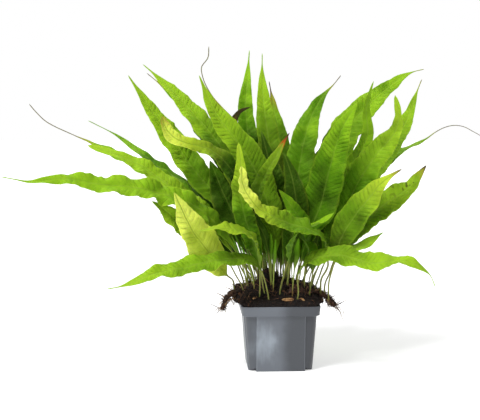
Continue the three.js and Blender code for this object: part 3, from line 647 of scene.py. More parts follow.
def bent(tree, geometry, size, by, seed):
    """Every point pushed aside by smooth noise of its place."""
    place = tree.vector("ADD", tree.add("GeometryNodeInputPosition"), (seed, seed, seed))
    sockets = {"Vector": place, "Scale": 1 / size, "Detail": 2.0}
    push = tree.add("ShaderNodeTexNoise", {}, sockets, out="Color")
    offset = scaled(tree, tree.vector("SUBTRACT", push, (0.5, 0.5, 0.5)), by)
    return tree.add("GeometryNodeSetPosition", {}, {"Geometry": geometry, "Offset": offset})


crumble, given, close = node_tree(
    "soil_crumbs",
    {
        "Crumbs per square metre": 90000.0,
        "Crumb size": 0.0011,
        "Bend": 0.0014,
        "Bend size": 0.0013,
        "Lowest": 0.0680,
        "Seed": 4,
    },
)
points, turn = scatter(crumble, given, given["Crumbs per square metre"], "Z")
shape = chance(crumble, "FLOAT_VECTOR", (0.4, 0.4, 0.3), (1.5, 1.2, 0.9), 7)
ball = crumble.add("GeometryNodeMeshIcoSphere", {}, {"Radius": given["Crumb size"], "Subdivisions": 2})
heap = sown(crumble, points, ball, turn, shape)
close(bent(crumble, heap, given["Bend size"], given["Bend"], 0.3))

fibre_web, given, close = node_tree(
    "soil_fibres",
    {
        "Fibres per square metre": 26000.0,
        "Shortest": 0.004,
        "Longest": 0.013,
        "Thickness": 0.00016,
        "Lowest": 0.0680,
        "Seed": 9,
    },
)
points, turn = scatter(fibre_web, given, given["Fibres per square metre"], "X")
line = fibre_web.add("GeometryNodeCurvePrimitiveLine", {}, {"End": (0.0, 0.0, 1.0)})
line = fibre_web.add("GeometryNodeResampleCurve", {}, {"Curve": line, "Count": 8})
length = chance(fibre_web, "FLOAT", given["Shortest"], given["Longest"], 3)
swung = tilted(fibre_web, turn, (-0.5, -0.9, -3.1), (0.5, 0.9, 3.1), 5)
wavy = bent(fibre_web, sown(fibre_web, points, line, swung, length), 0.006, 0.0055, 0.9)
slim = {"Radius": given["Thickness"], "Resolution": 4}
profile = fibre_web.add("GeometryNodeCurvePrimitiveCircle", {}, slim)
tubes = {"Curve": wavy, "Profile Curve": profile, "Fill Caps": True}
close(fibre_web.add("GeometryNodeCurveToMesh", {}, tubes))


def crumb_skin(tree):
    place = tree.place()
    kind = tree.noise(place, 170.0, 1.0)
    tone = tree.noise(place, 520.0, 3.0)
    brown = kind.rise(0.56, 0.66) * (0.15 + 0.7 * towards_sides(place, 0.010, 0.034))
    coats = (tone, (0.018, 0.011, 0.008, 1)), (brown, (0.095, 0.040, 0.018, 1))
    return {
        "Base Color": tree.layered((0.003, 0.002, 0.002, 1), *coats),
        "Roughness": 0.88,
        "Specular IOR Level": 0.2,
        "Normal": tree.bump(tone, 0.8, 0.0006),
    }


def fibre_skin(tree):
    place = tree.place()
    kind = tree.noise(place, 260.0, 1.0)
    brown = kind.rise(0.45, 0.65) * (0.2 + 0.8 * towards_sides(place, 0.010, 0.034))
    return {
        "Base Color": tree.mix(brown, (0.012, 0.007, 0.005, 1), (0.150, 0.070, 0.032, 1)),
        "Roughness": 0.7 + 0.15 * kind,
        "Specular IOR Level": 0.25,
    }


crumb_finish = finish("peat_crumb", crumb_skin)
crumbs = grown(piece_with("soil_crumbs", soil.data.copy()), crumble, {"Finish": crumb_finish})
lump_sizes = {
    "Crumbs per square metre": 8000.0,
    "Crumb size": 0.0027,
    "Bend": 0.0040,
    "Bend size": 0.0030,
    "Lowest": 0.0725,
    "Seed": 12,
    "Finish": crumb_finish,
}
lumps = grown(piece_with("soil_lumps", soil.data.copy()), crumble, lump_sizes)
fibre_finish = finish("dry_fibre", fibre_skin)
fibres = grown(piece_with("soil_fibres", soil.data.copy()), fibre_web, {"Finish": fibre_finish})
for loose in (crumbs, lumps, fibres):
    loose.data.shade_smooth()
    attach(loose, "root")

# The ferns grow from creeping stems, brown and knobbly, as thick as a pencil or less. They lie
# half in the soil, two of them reach over the rim, and narrow dry scales sit all over them.
# Their routes and radii are in mm.
creeping_routes = {
    "rhizome_left": [
        (-31, -8.5, 80), (-38, -9.5, 80.5), (-46, -10.5, 78.5), (-54, -11.5, 72), (-58, -12, 60),
    ],
    "rhizome_right": [
        (32, -17, 78.5), (38, -18.5, 78.5), (44, -20.2, 76), (50, -22, 71.5), (55, -23.5, 64.5),
    ],
    "rhizome_front": [(6, -23, 78), (13, -21, 81), (20, -21, 81), (28, -24, 77)],
}
creeping_radii = {"rhizome_left": 2.5, "rhizome_right": 3.3, "rhizome_front": 2.6}


def along_curve(knots, values, at):
    """Values between knots on a smooth curve through them."""
    knots, values = np.asarray(knots), np.asarray(values, float)
    gap = np.diff(knots)
    slope = np.diff(values, axis=0) / gap.reshape((-1,) + (1,) * (values.ndim - 1))
    tangent = np.empty_like(values)
    tangent[0], tangent[-1] = slope[0], slope[-1]
    weight = gap.reshape((-1,) + (1,) * (values.ndim - 1))
    tangent[1:-1] = (slope[:-1] * weight[1:] + slope[1:] * weight[:-1]) / (weight[:-1] + weight[1:])
    at = np.clip(at, knots[0], knots[-1])
    cell = np.clip(np.searchsorted(knots, at, side="right") - 1, 0, len(gap) - 1)
    width = gap[cell]
    t = (at - knots[cell]) / width
    shape = t.shape + (1,) * (values.ndim - 1)
    t, width = t.reshape(shape), width.reshape(shape)
    return (
        (2 * t**3 - 3 * t**2 + 1) * values[cell]
        + (t**3 - 2 * t**2 + t) * width * tangent[cell]
        + (3 * t**2 - 2 * t**3) * values[cell + 1]
        + (t**3 - t**2) * width * tangent[cell + 1]
    )


def smooth(low, high, value):
    t = np.clip((value - low) / (high - low), 0, 1)
    return t * t * (3 - 2 * t)


def uneven(at, size, seed):
    """Smooth noise along a line, from -1 to 1."""
    places = np.stack(np.broadcast_arrays(at / size, seed, 0.5), axis=-1).reshape(-1, 3)
    return np.array([noise.noise(Vector(place)) for place in places]).reshape(np.shape(at))


def tube(route, radius_at, around, step):
    """Rings of points round a route, in mm, square to it."""
    route = np.asarray(route, float)
    knots = np.concatenate([[0], np.cumsum(np.linalg.norm(np.diff(route, axis=0), axis=1))])
    at = np.linspace(0, knots[-1], max(4, int(knots[-1] / step)))
    line = along_curve(knots, route, at)
    ahead = np.gradient(line, axis=0)
    ahead /= np.linalg.norm(ahead, axis=1, keepdims=True)
    across = np.cross(ahead, (0.31, 0.17, 0.93))
    across /= np.linalg.norm(across, axis=1, keepdims=True)
    over = np.cross(ahead, across)
    rings = []
    for row, share in enumerate(at / knots[-1]):
        ring = []
        for step_round in range(around):
            angle = step_round / around * 2 * math.pi
            out = radius_at(share, angle, at[row])
            ring.append(line[row] + out * (math.cos(angle) * across[row] + math.sin(angle) * over[row]))
        rings.append(np.array(ring) / 1000)
    return rings


def knobbly(radius, seed):
    def radius_at(share, angle, at):
        blunt = math.sqrt(max(0.0, 1 - abs(2 * share - 1) ** 7)) * 0.94 + 0.06
        knob = noise.noise(Vector((at / 4.5, 1.3 * math.cos(angle), 1.3 * math.sin(angle) + seed)))
        fine = noise.noise(Vector((at / 1.6, 3 * math.cos(angle), 3 * math.sin(angle) + seed)))
        ring = 0.06 * math.sin(at * 2.1 + 0.8 * math.sin(angle))
        return radius * blunt * (0.86 + 0.45 * knob + 0.20 * fine + ring)

    return radius_at


scaly, given, close = node_tree(
    "dry_scales",
    {"Scales per square metre": 320000.0, "Scale length": 0.0042, "Lowest": 0.0, "Seed": 2},
)
points, turn = scatter(scaly, given, given["Scales per square metre"], "Z")
long = given["Scale length"]
pointed = {"Vertices": 5, "Radius Top": 0.0, "Radius Bottom": long * 0.16, "Depth": long}
thorn = scaly.add("GeometryNodeMeshCone", {}, pointed)
slanted = tilted(scaly, turn, (-1.2, -1.2, -3.1), (1.2, 1.2, 3.1), 8)
large = chance(scaly, "FLOAT_VECTOR", (0.5, 0.3, 0.4), (1.3, 0.7, 1.2), 6)
scales = sown(scaly, points, thorn, slanted, large)
both = scaly.make("GeometryNodeJoinGeometry", {}, {"Geometry": bent(scaly, scales, 0.002, 0.0012, 0.6)})
scaly.nodes.links.new(given["Geometry"].socket, both.inputs["Geometry"])
close(Wire(scaly, both.outputs["Geometry"]))


def scaly_bark(tree):
    place = tree.place()
    tone = tree.noise(place, 210.0, 3.0, 0.6)
    fleck = tree.noise(place, 900.0, 3.0, 0.6)
    left = place.parts()[0].fall(-0.02, 0.02)
    fresh = tree.mix(left, (0.140, 0.030, 0.016, 1), (0.090, 0.070, 0.022, 1))
    coats = (tone.rise(0.35, 0.65), (0.075, 0.032, 0.016, 1)), (fleck.rise(0.55, 0.72) * 0.6, fresh)
    return {
        "Base Color": tree.layered((0.012, 0.006, 0.004, 1), *coats),
        "Roughness": 0.65 + 0.2 * fleck,
        "Specular IOR Level": 0.35,
        "Normal": tree.bump(fleck + tone, 0.8, 0.0008),
    }


creeping_finish = finish("scaly_bark", scaly_bark)
for order, (node, route) in enumerate(creeping_routes.items()):
    skin = shell(tube(route, knobbly(creeping_radii[node], order * 5.0), around=22, step=0.9))
    stem = piece_of(node.replace("rhizome", "creeping_stem"), *skin)
    grown(stem, scaly, {"Seed": order, "Finish": creeping_finish})
    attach(stem, "root")
    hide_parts(node)

# Wiry roots hang from the creeping stems and from the lip of the soil over the rim of the pot,
# and arch over the soil. Among them stand the stalks of old fronds, broken off short.
root_draw = random.Random(5)
arch_count = 110
arch_spread = (40, 31)
stalk_count = 5
soil_level = 72.0
# Where roots start to hang, in mm, and how many do there.
root_ends = [
    ((-52, -12, 71), 13), ((-57, -12, 64), 13), ((-47, -14, 74), 7), ((50, -22, 70), 8),
    ((56, -24, 65), 9), ((44, -24, 73), 6), ((-43, 12, 74), 5), ((43, 14, 74), 5),
    ((0, 44, 73), 5), ((-30, 42, 73), 4),
]


def root_route(start, drop):
    """A root's wandering way down from where it starts, in mm."""
    at = np.array(start, float)
    heading = np.array([at[0], at[1], 0.0]) / np.hypot(at[0], at[1])
    heading = heading * 0.5 + [root_draw.uniform(-0.7, 0.7), root_draw.uniform(-0.7, 0.7), 0.1]
    route = [at.copy()]
    for _ in range(max(4, int(drop / 2.2))):
        heading += [root_draw.uniform(-0.5, 0.5), root_draw.uniform(-0.5, 0.5), -0.32]
        heading /= np.linalg.norm(heading)
        at = at + heading * 2.2
        route.append(at.copy())
    return route


def tapered(thick):
    return lambda share, angle, at: thick * (1 - 0.75 * share)


def ground_at(x, y):
    """How high the soil lies at a place, in mm."""
    hit = soil_tree.ray_cast(Vector((x / 1000, y / 1000, beyond)), Vector((0, 0, -1)))[0]
    return 1000 * hit.z if hit else soil_level


def root_arch():
    """A root that comes up out of the soil, arches over it and goes back in, in mm."""
    turn, share_out = root_draw.uniform(0, 2 * math.pi), math.sqrt(root_draw.uniform(0.12, 1.0))
    wide, deep = arch_spread
    start = np.array([wide * share_out * math.cos(turn), deep * share_out * math.sin(turn)])
    away = root_draw.uniform(0, 2 * math.pi)
    ahead = np.array([math.cos(away), math.sin(away)])
    end = np.clip(start + root_draw.uniform(7, 22) * ahead, (-43, -33), (43, 38))
    bow, high = root_draw.uniform(-5, 5), root_draw.uniform(1.5, 8.0)
    route = []
    for share in np.linspace(-0.08, 1.08, 9):
        arc = math.sin(math.pi * min(1, max(0, share)))
        x, y = start + (end - start) * share + bow * arc * np.array([-ahead[1], ahead[0]])
        route.append(np.array([x, y, ground_at(x, y) + high * arc - 1.0 + root_draw.uniform(-0.7, 0.7)]))
    return route


def broken_stalk(route):
    """What is left of an old frond's stalk, from a point of a creeping stem outwards, in mm."""
    at = np.array(route[root_draw.randrange(1, len(route))], float)
    way = np.array([at[0] * 0.02 + root_draw.uniform(-0.6, 0.6), root_draw.uniform(-1, 0.6), 0.9])
    reach = root_draw.uniform(5, 10)
    return [at + way * reach * share + [0, 0, -1.5 * share**2] for share in (0, 0.4, 0.7, 1.0)]


threads = []
for start, count in root_ends:
    for _ in range(count):
        near = np.array(start) + [root_draw.uniform(-by, by) for by in (3, 3, 2)]
        threads.append((root_route(near, root_draw.uniform(7, 20)), root_draw.uniform(0.22, 0.5)))
threads += [(root_arch(), root_draw.uniform(0.2, 0.45)) for _ in range(arch_count)]
for creeping in creeping_routes.values():
    threads += [(broken_stalk(creeping), root_draw.uniform(0.6, 1.0)) for _ in range(stalk_count)]


def bundle(name, tubes):
    """One piece of many closed tubes."""
    all_points, all_faces = [], []
    for points, faces in tubes:
        base = len(all_points)
        all_points += points
        all_faces += [tuple(base + at for at in face) for face in faces]
    return piece_of(name, all_points, all_faces)


def root_skin(tree):
    place = tree.place()
    kind = tree.noise(place, 240.0, 1.0)
    pale = towards_sides(place, 0.012, 0.050) * kind.rise(0.50, 0.62) * 0.8
    coats = (kind.rise(0.40, 0.60), (0.150, 0.065, 0.030, 1)), (pale, (0.360, 0.240, 0.120, 1))
    return {
        "Base Color": tree.layered((0.025, 0.012, 0.007, 1), *coats),
        "Roughness": 0.65 + 0.2 * kind,
        "Specular IOR Level": 0.3,
    }


thin_tubes = [shell(tube(route, tapered(thick), around=6, step=1.4)) for route, thick in threads]
roots = bundle("wiry_roots", thin_tubes)
roots.data.materials.append(finish("wiry_root", root_skin))
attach(roots, "root")

# Young fronds that haven't opened stand between the stems of the grown ones: thin stalks that
# flatten into a narrow blade towards their tips.
young_draw = random.Random(23)
young_count = 36
young_spread = (36, 28)
young_depth = 3


def young_route():
    """The way of a young frond from inside the soil up to its tip, in mm."""
    turn, share_out = young_draw.uniform(0, 2 * math.pi), math.sqrt(young_draw.uniform(0.02, 1.0))
    wide, deep = young_spread
    x, y = wide * share_out * math.cos(turn), deep * share_out * math.sin(turn)
    lean = np.array([0.45 * x + young_draw.uniform(-9, 9), 0.45 * y + young_draw.uniform(-6, 6), 0.0])
    high = young_draw.uniform(34, 72)
    foot = np.array([x, y, max(ground_at(x, y), soil_level) - young_depth])
    return [foot + lean * share**1.6 + [0, 0, high * share] for share in (0, 0.2, 0.4, 0.6, 0.8, 1.0)]


def young_girth(stalk, blade):
    def radius_at(share, angle, at):
        open_share = smooth(0.45, 0.72, share)
        tip = math.sqrt(max(0.01, 1 - max(0.0, (share - 0.66) / 0.34) ** 1.5))
        half = (stalk + (blade - stalk) * open_share) * tip
        thin = stalk * (1 - 0.45 * open_share) * tip
        return 1 / math.hypot(math.cos(angle) / half, math.sin(angle) / thin)

    return radius_at


# The gloss and the inner glow that young and grown fronds share.
leaf_gloss = {
    "Specular IOR Level": 0.27,
    "Specular Tint": (0.70, 1.00, 0.12, 1),
    "Subsurface Weight": 0.2,
    "Subsurface Radius": (0.6, 1.0, 0.15),
}


def young_skin(tree):
    place = tree.place()
    blotch = tree.noise(place, 130.0, 2.0)
    up = place.parts()[2] + 0.016 * (blotch - 0.5)
    stalk, blade = (0.220, 0.280, 0.060, 1), (0.075, 0.190, 0.006, 1)
    coats = (up.rise(0.078, 0.096), stalk), (up.rise(0.098, 0.122), blade)
    return {
        "Base Color": tree.layered((0.140, 0.080, 0.035, 1), *coats),
        "Roughness": 0.42 + 0.18 * blotch,
        **leaf_gloss,
        "Subsurface Scale": 0.0015,
        "Normal": tree.bump(blotch, 0.3, 0.0005),
    }


shoots = []
for _ in range(young_count):
    girth = young_girth(young_draw.uniform(0.45, 0.75), young_draw.uniform(1.6, 4.2))
    shoots.append(shell(tube(young_route(), girth, around=10, step=1.7)))
young = bundle("young_fronds", shoots)
young.data.materials.append(finish("young_leaf", young_skin))
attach(young, "root")

# Chips of pine bark lie half sunk in the soil. They are torn along their grain, flake in layers
# and are pale orange where they broke.
def bark(tree):
    place = tree.place()
    flakes = tree.noise(tree.vector("MULTIPLY", place, (1.0, 4.0, 5.0)), 240.0, 3.0, 0.6)
    stain = tree.noise(place, 330.0, 2.0)
    pale, stained = (0.440, 0.260, 0.110, 1), (0.060, 0.024, 0.010, 1)
    coats = (flakes.rise(0.35, 0.65), pale), (stain.rise(0.52, 0.70) * 0.8, stained)
    return {
        "Base Color": tree.layered((0.150, 0.065, 0.024, 1), *coats),
        "Roughness": 0.75 + 0.15 * stain,
        "Specular IOR Level": 0.25,
        "Normal": tree.bump(flakes, 0.9, 0.0008),
    }


bark_finish = finish("torn_bark", bark)
for order, node in enumerate(("chip_1", "chip_2", "chip_3")):
    torn = merged(node)
    bmesh.ops.subdivide_edges(torn, edges=torn.edges, cuts=5, use_grid_fill=True)
    all_ways = {"use_axis_x": True, "use_axis_y": True, "use_axis_z": True}
    bmesh.ops.smooth_vert(torn, verts=torn.verts, factor=0.5, **all_ways)
    middle = sum((v.co for v in torn.verts), Vector()) / len(torn.verts)
    for v in torn.verts:
        way = (v.co - middle).normalized()
        grain = noise.noise(Vector((v.co.x * 160, v.co.y * 900, v.co.z * 900 + order)))
        v.co += way * (0.0010 * grain + 0.0009 * lump(v.co, 0.003, order * 4.0))
    bmesh.ops.recalc_face_normals(torn, faces=torn.faces)
    mesh = bpy.data.meshes.new("bark_" + node)
    torn.to_mesh(mesh)
    torn.free()
    chip = piece_with("bark_" + node, mesh)
    by_angle(chip, 50)
    chip.data.materials.append(bark_finish)
    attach(chip, "root")
    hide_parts(node)

# A frond is one leaf of the fern: a thin stalk that widens into a long blade with a raised rib,
# side veins that run out to a wavy margin, and skin that bulges between them. It follows the
# frame's frond of the same name, whose cross-sections are six points round. Sizes are in mm.
row_step = 1.15
stem_step = 2.4
vein_slant = 0.72
vein_spacing = 5.4
plain_ruffle = (1.8, 17.0)
half_columns = 8
stem_radius = 1.15
stem_sway = 2.6
blade_half = 0.34
margin_thinner = 0.16
rib_half = 0.95
tip_length = 3.0
blunt_length = 12


def sections(node):
    """The frond's cross-sections from foot to tip, each in order round the frond, in mm."""
    copy = merged(node)
    copy.verts.ensure_lookup_table()
    near = {v.index: [edge.other_vert(v).index for edge in v.link_edges] for v in copy.verts}
    place = {v.index: np.array(v.co) * 1000 for v in copy.verts}
    copy.free()
    longest = {at: max(np.linalg.norm(place[at] - place[other]) for other in near[at]) for at in near}
    caps = sorted((at for at in near if len(near[at]) == 6), key=lambda at: longest[at])[:2]
    foot = min(caps, key=lambda at: np.hypot(*place[at][:2]) + place[at][2])
    seen = {foot}
    layer = list(near[foot])
    rings = []
    while len(layer) == 6:
        seen.update(layer)
        ring = [layer[0]]
        while len(ring) < 6:
            ring.append(next(at for at in near[ring[-1]] if at in layer and at not in ring))
        rings.append(np.array([place[at] for at in ring]))
        layer = sorted({other for at in ring for other in near[at] if other not in seen})
    return in_step(rings)


def in_step(rings):
    """The same rings, all wound one way round the frond and begun at the same rail."""
    ordered = []
    for row, ring in enumerate(rings):
        along = rings[min(row + 1, len(rings) - 1)].mean(0) - rings[max(row - 1, 0)].mean(0)
        spokes = ring - ring.mean(0)
        turn = sum(np.cross(spokes[at], spokes[(at + 1) % 6]) for at in range(6))
        if np.dot(turn, along) < 0:
            spokes = spokes[::-1]
            ring = ring[::-1]
        if ordered:
            before = ordered[-1] - ordered[-1].mean(0)
            shift = min(range(6), key=lambda by: np.sum((before - np.roll(spokes, by, axis=0)) ** 2))
            ring = np.roll(ring, shift, axis=0)
        ordered.append(ring)
    widest = max(ordered, key=lambda ring: np.linalg.norm(ring - ring.mean(0), axis=1).max())

    def thin_sides(by):
        ring = np.roll(widest, -by, axis=0)
        return np.linalg.norm(ring[0] - ring[5]) + np.linalg.norm(ring[2] - ring[3])

    start = min(range(3), key=thin_sides)
    ring = np.roll(widest, -start, axis=0)
    if np.dot(ring[1] - ring[4], (0.0, -0.6, 0.8)) < 0:
        start += 3
    return [np.roll(ring, -start, axis=0) for ring in ordered]


def blade_skin(name, node, seed, deeper, blunt):
    """The frond's smooth skin, with where each point lies on the blade kept as attributes."""
    rings = sections(node)
    rib = np.array([(ring[1] + ring[4]) / 2 for ring in rings])
    sides = [np.array([(ring[a] + ring[b]) / 2 for ring in rings]) for a, b in ((0, 5), (2, 3))]
    thick = np.array([np.linalg.norm(ring[1] - ring[4]) / 2 for ring in rings])
    up = np.array([(ring[1] - ring[4]) / np.linalg.norm(ring[1] - ring[4]) for ring in rings])
    knots = np.concatenate([[0], np.cumsum(np.linalg.norm(np.diff(rib, axis=0), axis=1))])
    widths = np.array([np.linalg.norm(a - b) / 2 for a, b in zip(*sides)])
    first = next(at for at in range(1, len(rings)) if widths[at] > 1.6 * stem_radius) - 1
    bow = stem_sway * math.sin(seed * 5.1) * np.array([math.cos(seed * 2.4), math.sin(seed * 2.4), 0.0])
    begin, end = knots[first], knots[-1]
    stem_rows, blade_rows = np.arange(0, begin, stem_step), np.arange(begin, end - 0.5, row_step)
    rows = np.concatenate([stem_rows, blade_rows, [end - 0.25, end]])
    share = (np.arange(half_columns + 1) / half_columns) ** 1.3
    column = np.concatenate([-share[::-1], share[1:]])
    out = np.abs(column)[None, :]
    half_row = np.maximum(along_curve(knots, widths, rows), 0.4)
    lead = smooth(begin, begin + 15, rows) * np.maximum(half_row - 1.6, 0)
    at = np.clip(rows[:, None] + vein_slant * lead[:, None] * out, 0, end)
    middle = along_curve(knots, rib, at)
    left, right = (along_curve(knots, line, at) for line in sides)
    margin = np.where((column < 0)[None, :, None], left, right)
    raise_way = along_curve(knots, up, at)
    raise_way /= np.linalg.norm(raise_way, axis=2, keepdims=True)
    stray = np.sin(np.pi * np.clip(at / begin, 0, 1))[:, :, None] ** 2 * bow
    middle, margin = middle + stray, margin + stray
    half = np.linalg.norm(margin - middle, axis=2)
    towards_end = (at - begin) / (end - begin)
    full = blunt * np.sqrt(np.clip((end - at) / blunt_length, 0, 1)) * smooth(0.5, 0.75, towards_end)
    fuller = np.maximum(half, full) / np.maximum(half, 0.3)
    margin, half = middle + (margin - middle) * fuller[:, :, None], half * fuller
    side = np.where(column < 0, 0.0, 40.0)[None, :] + np.zeros_like(at)
    on_blade = smooth(begin + 4, begin + 25, at) * smooth(2.5, 6.0, half)
    nibble = 0.11 * uneven(at, 9.5, seed + side) + 0.05 * uneven(at, 3.4, seed + 7 + side)
    taper = np.sqrt(np.clip((end - at) / tip_length, 0.02, 1))
    taper = taper * (0.72 + 0.28 * smooth(begin - 6, begin + 12, at))
    reach_out = out * taper * (1 + nibble * on_blade * out)
    arch = 0.07 * half * on_blade * (np.sin(np.pi * out) + deeper * out)
    skin = middle + (margin - middle) * reach_out[:, :, None] + raise_way * arch[:, :, None]
    off = half * out
    flat = smooth(1.5, 4.5, half)
    round_stem = along_curve(knots, thick, at) * np.sqrt(np.clip(1 - column**2, 0, 1))[None, :]
    edge = blade_half - margin_thinner * smooth(0.88, 1.0, out)
    rib_bump = np.clip(along_curve(knots, thick, at) - blade_half, 0, 1) * np.exp(-((off / rib_half) ** 2))
    deep = ((1 - flat) * round_stem + flat * (edge + rib_bump)) * taper
    top = skin + raise_way * (deep * (1 - 0.35 * flat))[:, :, None]
    under = skin - raise_way * deep[:, :, None]
    return wrap(name, top, under, {
        "blade": np.stack([off * np.sign(column)[None, :], at - begin, half], axis=2),
        "growth": np.stack([0 * at, out + 0 * at, towards_end], axis=2),
        "raise_way": raise_way,
    })


def note(piece, label, values):
    """Keeps a vector for each point of a piece under a name."""
    notes = piece.data.attributes.new(label, "FLOAT_VECTOR", "POINT").data
    notes.foreach_set("vector", values)


def wrap(name, top, under, notes):
    """One closed skin of an upper and a lower sheet, with its notes as point attributes."""
    count = top.shape[1]
    loops = np.concatenate([top, under[:, ::-1]], axis=1)
    points = loops.reshape(-1, 3) / 1000
    total = 2 * count
    ends = np.array([loops[0].mean(0), loops[-1].mean(0)]) / 1000
    faces = []
    for row in range(len(top) - 1):
        faces += band(row * total, (row + 1) * total, total, turned=True)
    foot, tip = len(points), len(points) + 1
    last = (len(top) - 1) * total
    for at in range(total):
        after = (at + 1) % total
        faces.append((at, after, foot))
        faces.append((last + after, last + at, tip))
    piece = piece_of(name, np.concatenate([points, ends]), faces)
    for label, values in notes.items():
        both = np.concatenate([values, values[:, ::-1]], axis=1)
        if label == "growth":
            both[:, count:, 0] = 1
        both = both.reshape(-1, 3)
        note(piece, label, np.concatenate([both, both[:1], both[-1:]]).ravel())
    return piece


def vein_pattern(tree, across, along, spacing, seed):
    """How far off the rib, on which side, where between two veins, how high and how full there."""
    off, side = across.math("ABSOLUTE"), across.math("SIGN")
    wander = tree.noise(tree.join(across, along, seed), 0.09, 1.0) - 0.5
    between = ((along - off * vein_slant + wander * 3.0) / spacing + side * 0.25).math("FRACT")
    full = tree.noise(tree.join(across, along, seed + 40.0), 0.05, 1.0)
    pillow = (4 * between * (1 - between)).math("POWER", 0.6)
    return off, side, between, pillow, 0.35 + 0.65 * full.rise(0.35, 0.58)


relief, given, close = node_tree(
    "blade_relief",
    {
        "Vein spacing": vein_spacing,
        "Quilt height": 1.8,
        "Ruffle height": plain_ruffle[0],
        "Ruffle length": plain_ruffle[1],
        "Seed": 0.0,
    },
)
across, along, half = named(relief, "blade").parts()
off, side, _, pillow, fullness = vein_pattern(relief, across, along, given["Vein spacing"], given["Seed"])
share = off / half
body = half.rise(3.0, 8.0) * along.rise(2.0, 14.0)
quilt = given["Quilt height"] * fullness * (pillow - 0.6) * off.rise(0.5, 2.4) * share.fall(0.75, 1.0)
swing = relief.noise(relief.join(along / given["Ruffle length"], side * 3.1, given["Seed"]), 1.0, 2.0)
ruffle = given["Ruffle height"] * 4 * (swing - 0.5) * share.math("POWER", 2.0)
dimple = relief.noise(relief.join(across, along, given["Seed"]), 0.075, 2.0)
lift = (quilt + ruffle + 5.0 * (dimple - 0.5)) * body * 0.001
offset = scaled(relief, named(relief, "raise_way"), lift)
close(relief.add("GeometryNodeSetPosition", {}, {"Geometry": given["Geometry"], "Offset": offset}))


def leaf_skin(tree):
    across, along, half = tree.attribute("blade").parts()
    under, share, blade = tree.attribute("growth").parts()
    light, yellow, dry = tree.attribute("tone").parts()
    place = tree.place()
    seed, tip_light, tip_yellow = tree.attribute("kin").parts()
    spacing, spotted, rusty = tree.attribute("veins").parts()
    towards_tip = blade.rise(0.45, 0.95)
    off, _, between, pillow, fullness = vein_pattern(tree, across, along, spacing, seed)
    # The veins lie in the grooves of the quilting and are darker: partly their own deeper green, partly
    # painted shade in the grooves.
    vein_groove_shade = (between.math("MINIMUM", 1 - between) * spacing).fall(0.1, 0.8)
    net = tree.add(
        "ShaderNodeTexVoronoi",
        {"feature": "DISTANCE_TO_EDGE"},
        {"Vector": tree.join(across, along - off * 0.5, 0.0), "Scale": 0.62},
    ).fall(0.03, 0.13)
    blotch = tree.noise(place, 42.0, 2.0, 0.5)
    speckle = tree.noise(place, 900.0, 3.0, 0.6)
    # Each frond's lightness, lighter tips, and blades darker at the foot than at the tip; the darker foot
    # is painted shade.
    lighter = 0.6 * light + tip_light * towards_tip + 0.35 * (blade - 0.45)
    # Fronds near the heart of the plant are painted darker: painted shade where the fronds shade each
    # other.
    heart_shade = tree.length(tree.vector("SUBTRACT", place, (0.0, 0.0, 0.150))).fall(0.050, 0.140)
    bright = (0.60 + lighter - 0.42 * heart_shade + 1.2 * (blotch - 0.5)).math("MAXIMUM", 0.0)
    aged = yellow * 1.3 * (0.55 + blotch) + tip_yellow * towards_tip
    ageing = (aged + 0.10 * share.rise(0.8, 1.0)).math("MINIMUM", 1.0)
    inner = off.rise(0.8, 2.5) * share.fall(0.85, 1.0)
    rib_tone = tree.mix(ageing.rise(0.2, 0.6), (0.190, 0.280, 0.040, 1), (0.120, 0.210, 0.012, 1))
    browned = along.fall(-60.0, -14.0) * 0.3 + 0.6 * blotch
    stem_tone = tree.mix(browned, (0.215, 0.245, 0.062, 1), (0.150, 0.105, 0.045, 1))
    halo = blade + 0.10 * (blotch - 0.5) + 0.015 * (speckle - 0.5) + 0.04 * share - dry
    singed = tree.mix(rusty, (0.085, 0.045, 0.018, 1), (0.340, 0.070, 0.010, 1))
    dead = tree.mix(halo.rise(0.01, 0.07), singed, (0.026, 0.015, 0.009, 1))
    thread = half.fall(0.7, 2.0) * dry.fall(0.79, 0.85)
    dead = tree.mix(thread * 0.85, dead, (0.170, 0.145, 0.100, 1))
    spot = spotted * tree.noise(place, 150.0, 1.0).rise(0.60, 0.66) * halo.rise(-0.40, -0.10)
    green = tree.layered(
        (0.010, 0.038, 0.001, 1),
        (bright.rise(0.0, 0.55), (0.055, 0.155, 0.002, 1)),
        (bright.rise(0.5, 1.1), (0.190, 0.360, 0.010, 1)),
        (ageing, (0.440, 0.520, 0.035, 1)),
        (ageing.rise(0.55, 1.0), (0.680, 0.780, 0.110, 1)),
        # darker veins: partly own colour, partly painted shade in the grooves
        (vein_groove_shade * inner * fullness * (0.19 - 0.09 * ageing), (0.018, 0.060, 0.002, 1)),
        (net * 0.12, (0.150, 0.240, 0.030, 1)),
        (under * 0.35, (0.130, 0.230, 0.035, 1)),
        (speckle.rise(0.55, 0.8) * 0.12, (0.120, 0.210, 0.015, 1)),
        (off.fall(0.3, 1.0) * (0.20 + 0.35 * ageing), rib_tone),
        (along.fall(-2.0, 8.0), stem_tone),
        (halo.rise(-0.09, -0.01) * 0.8, (0.240, 0.200, 0.020, 1)),
        (halo.rise(-0.02, 0.015), dead),
        (spot * 0.9, (0.030, 0.018, 0.010, 1)),
    )
    return {
        "Base Color": green,
        "Roughness": 0.42 + 0.18 * speckle + 0.1 * net + 0.12 * under,
        **leaf_gloss,
        "Subsurface Scale": 0.0022,
        "Normal": tree.bump(pillow * fullness * inner * half.rise(3.0, 9.0) - net * 0.03, 0.6, 0.0015),
    }


leaf_finish = finish("fern_leaf", leaf_skin)
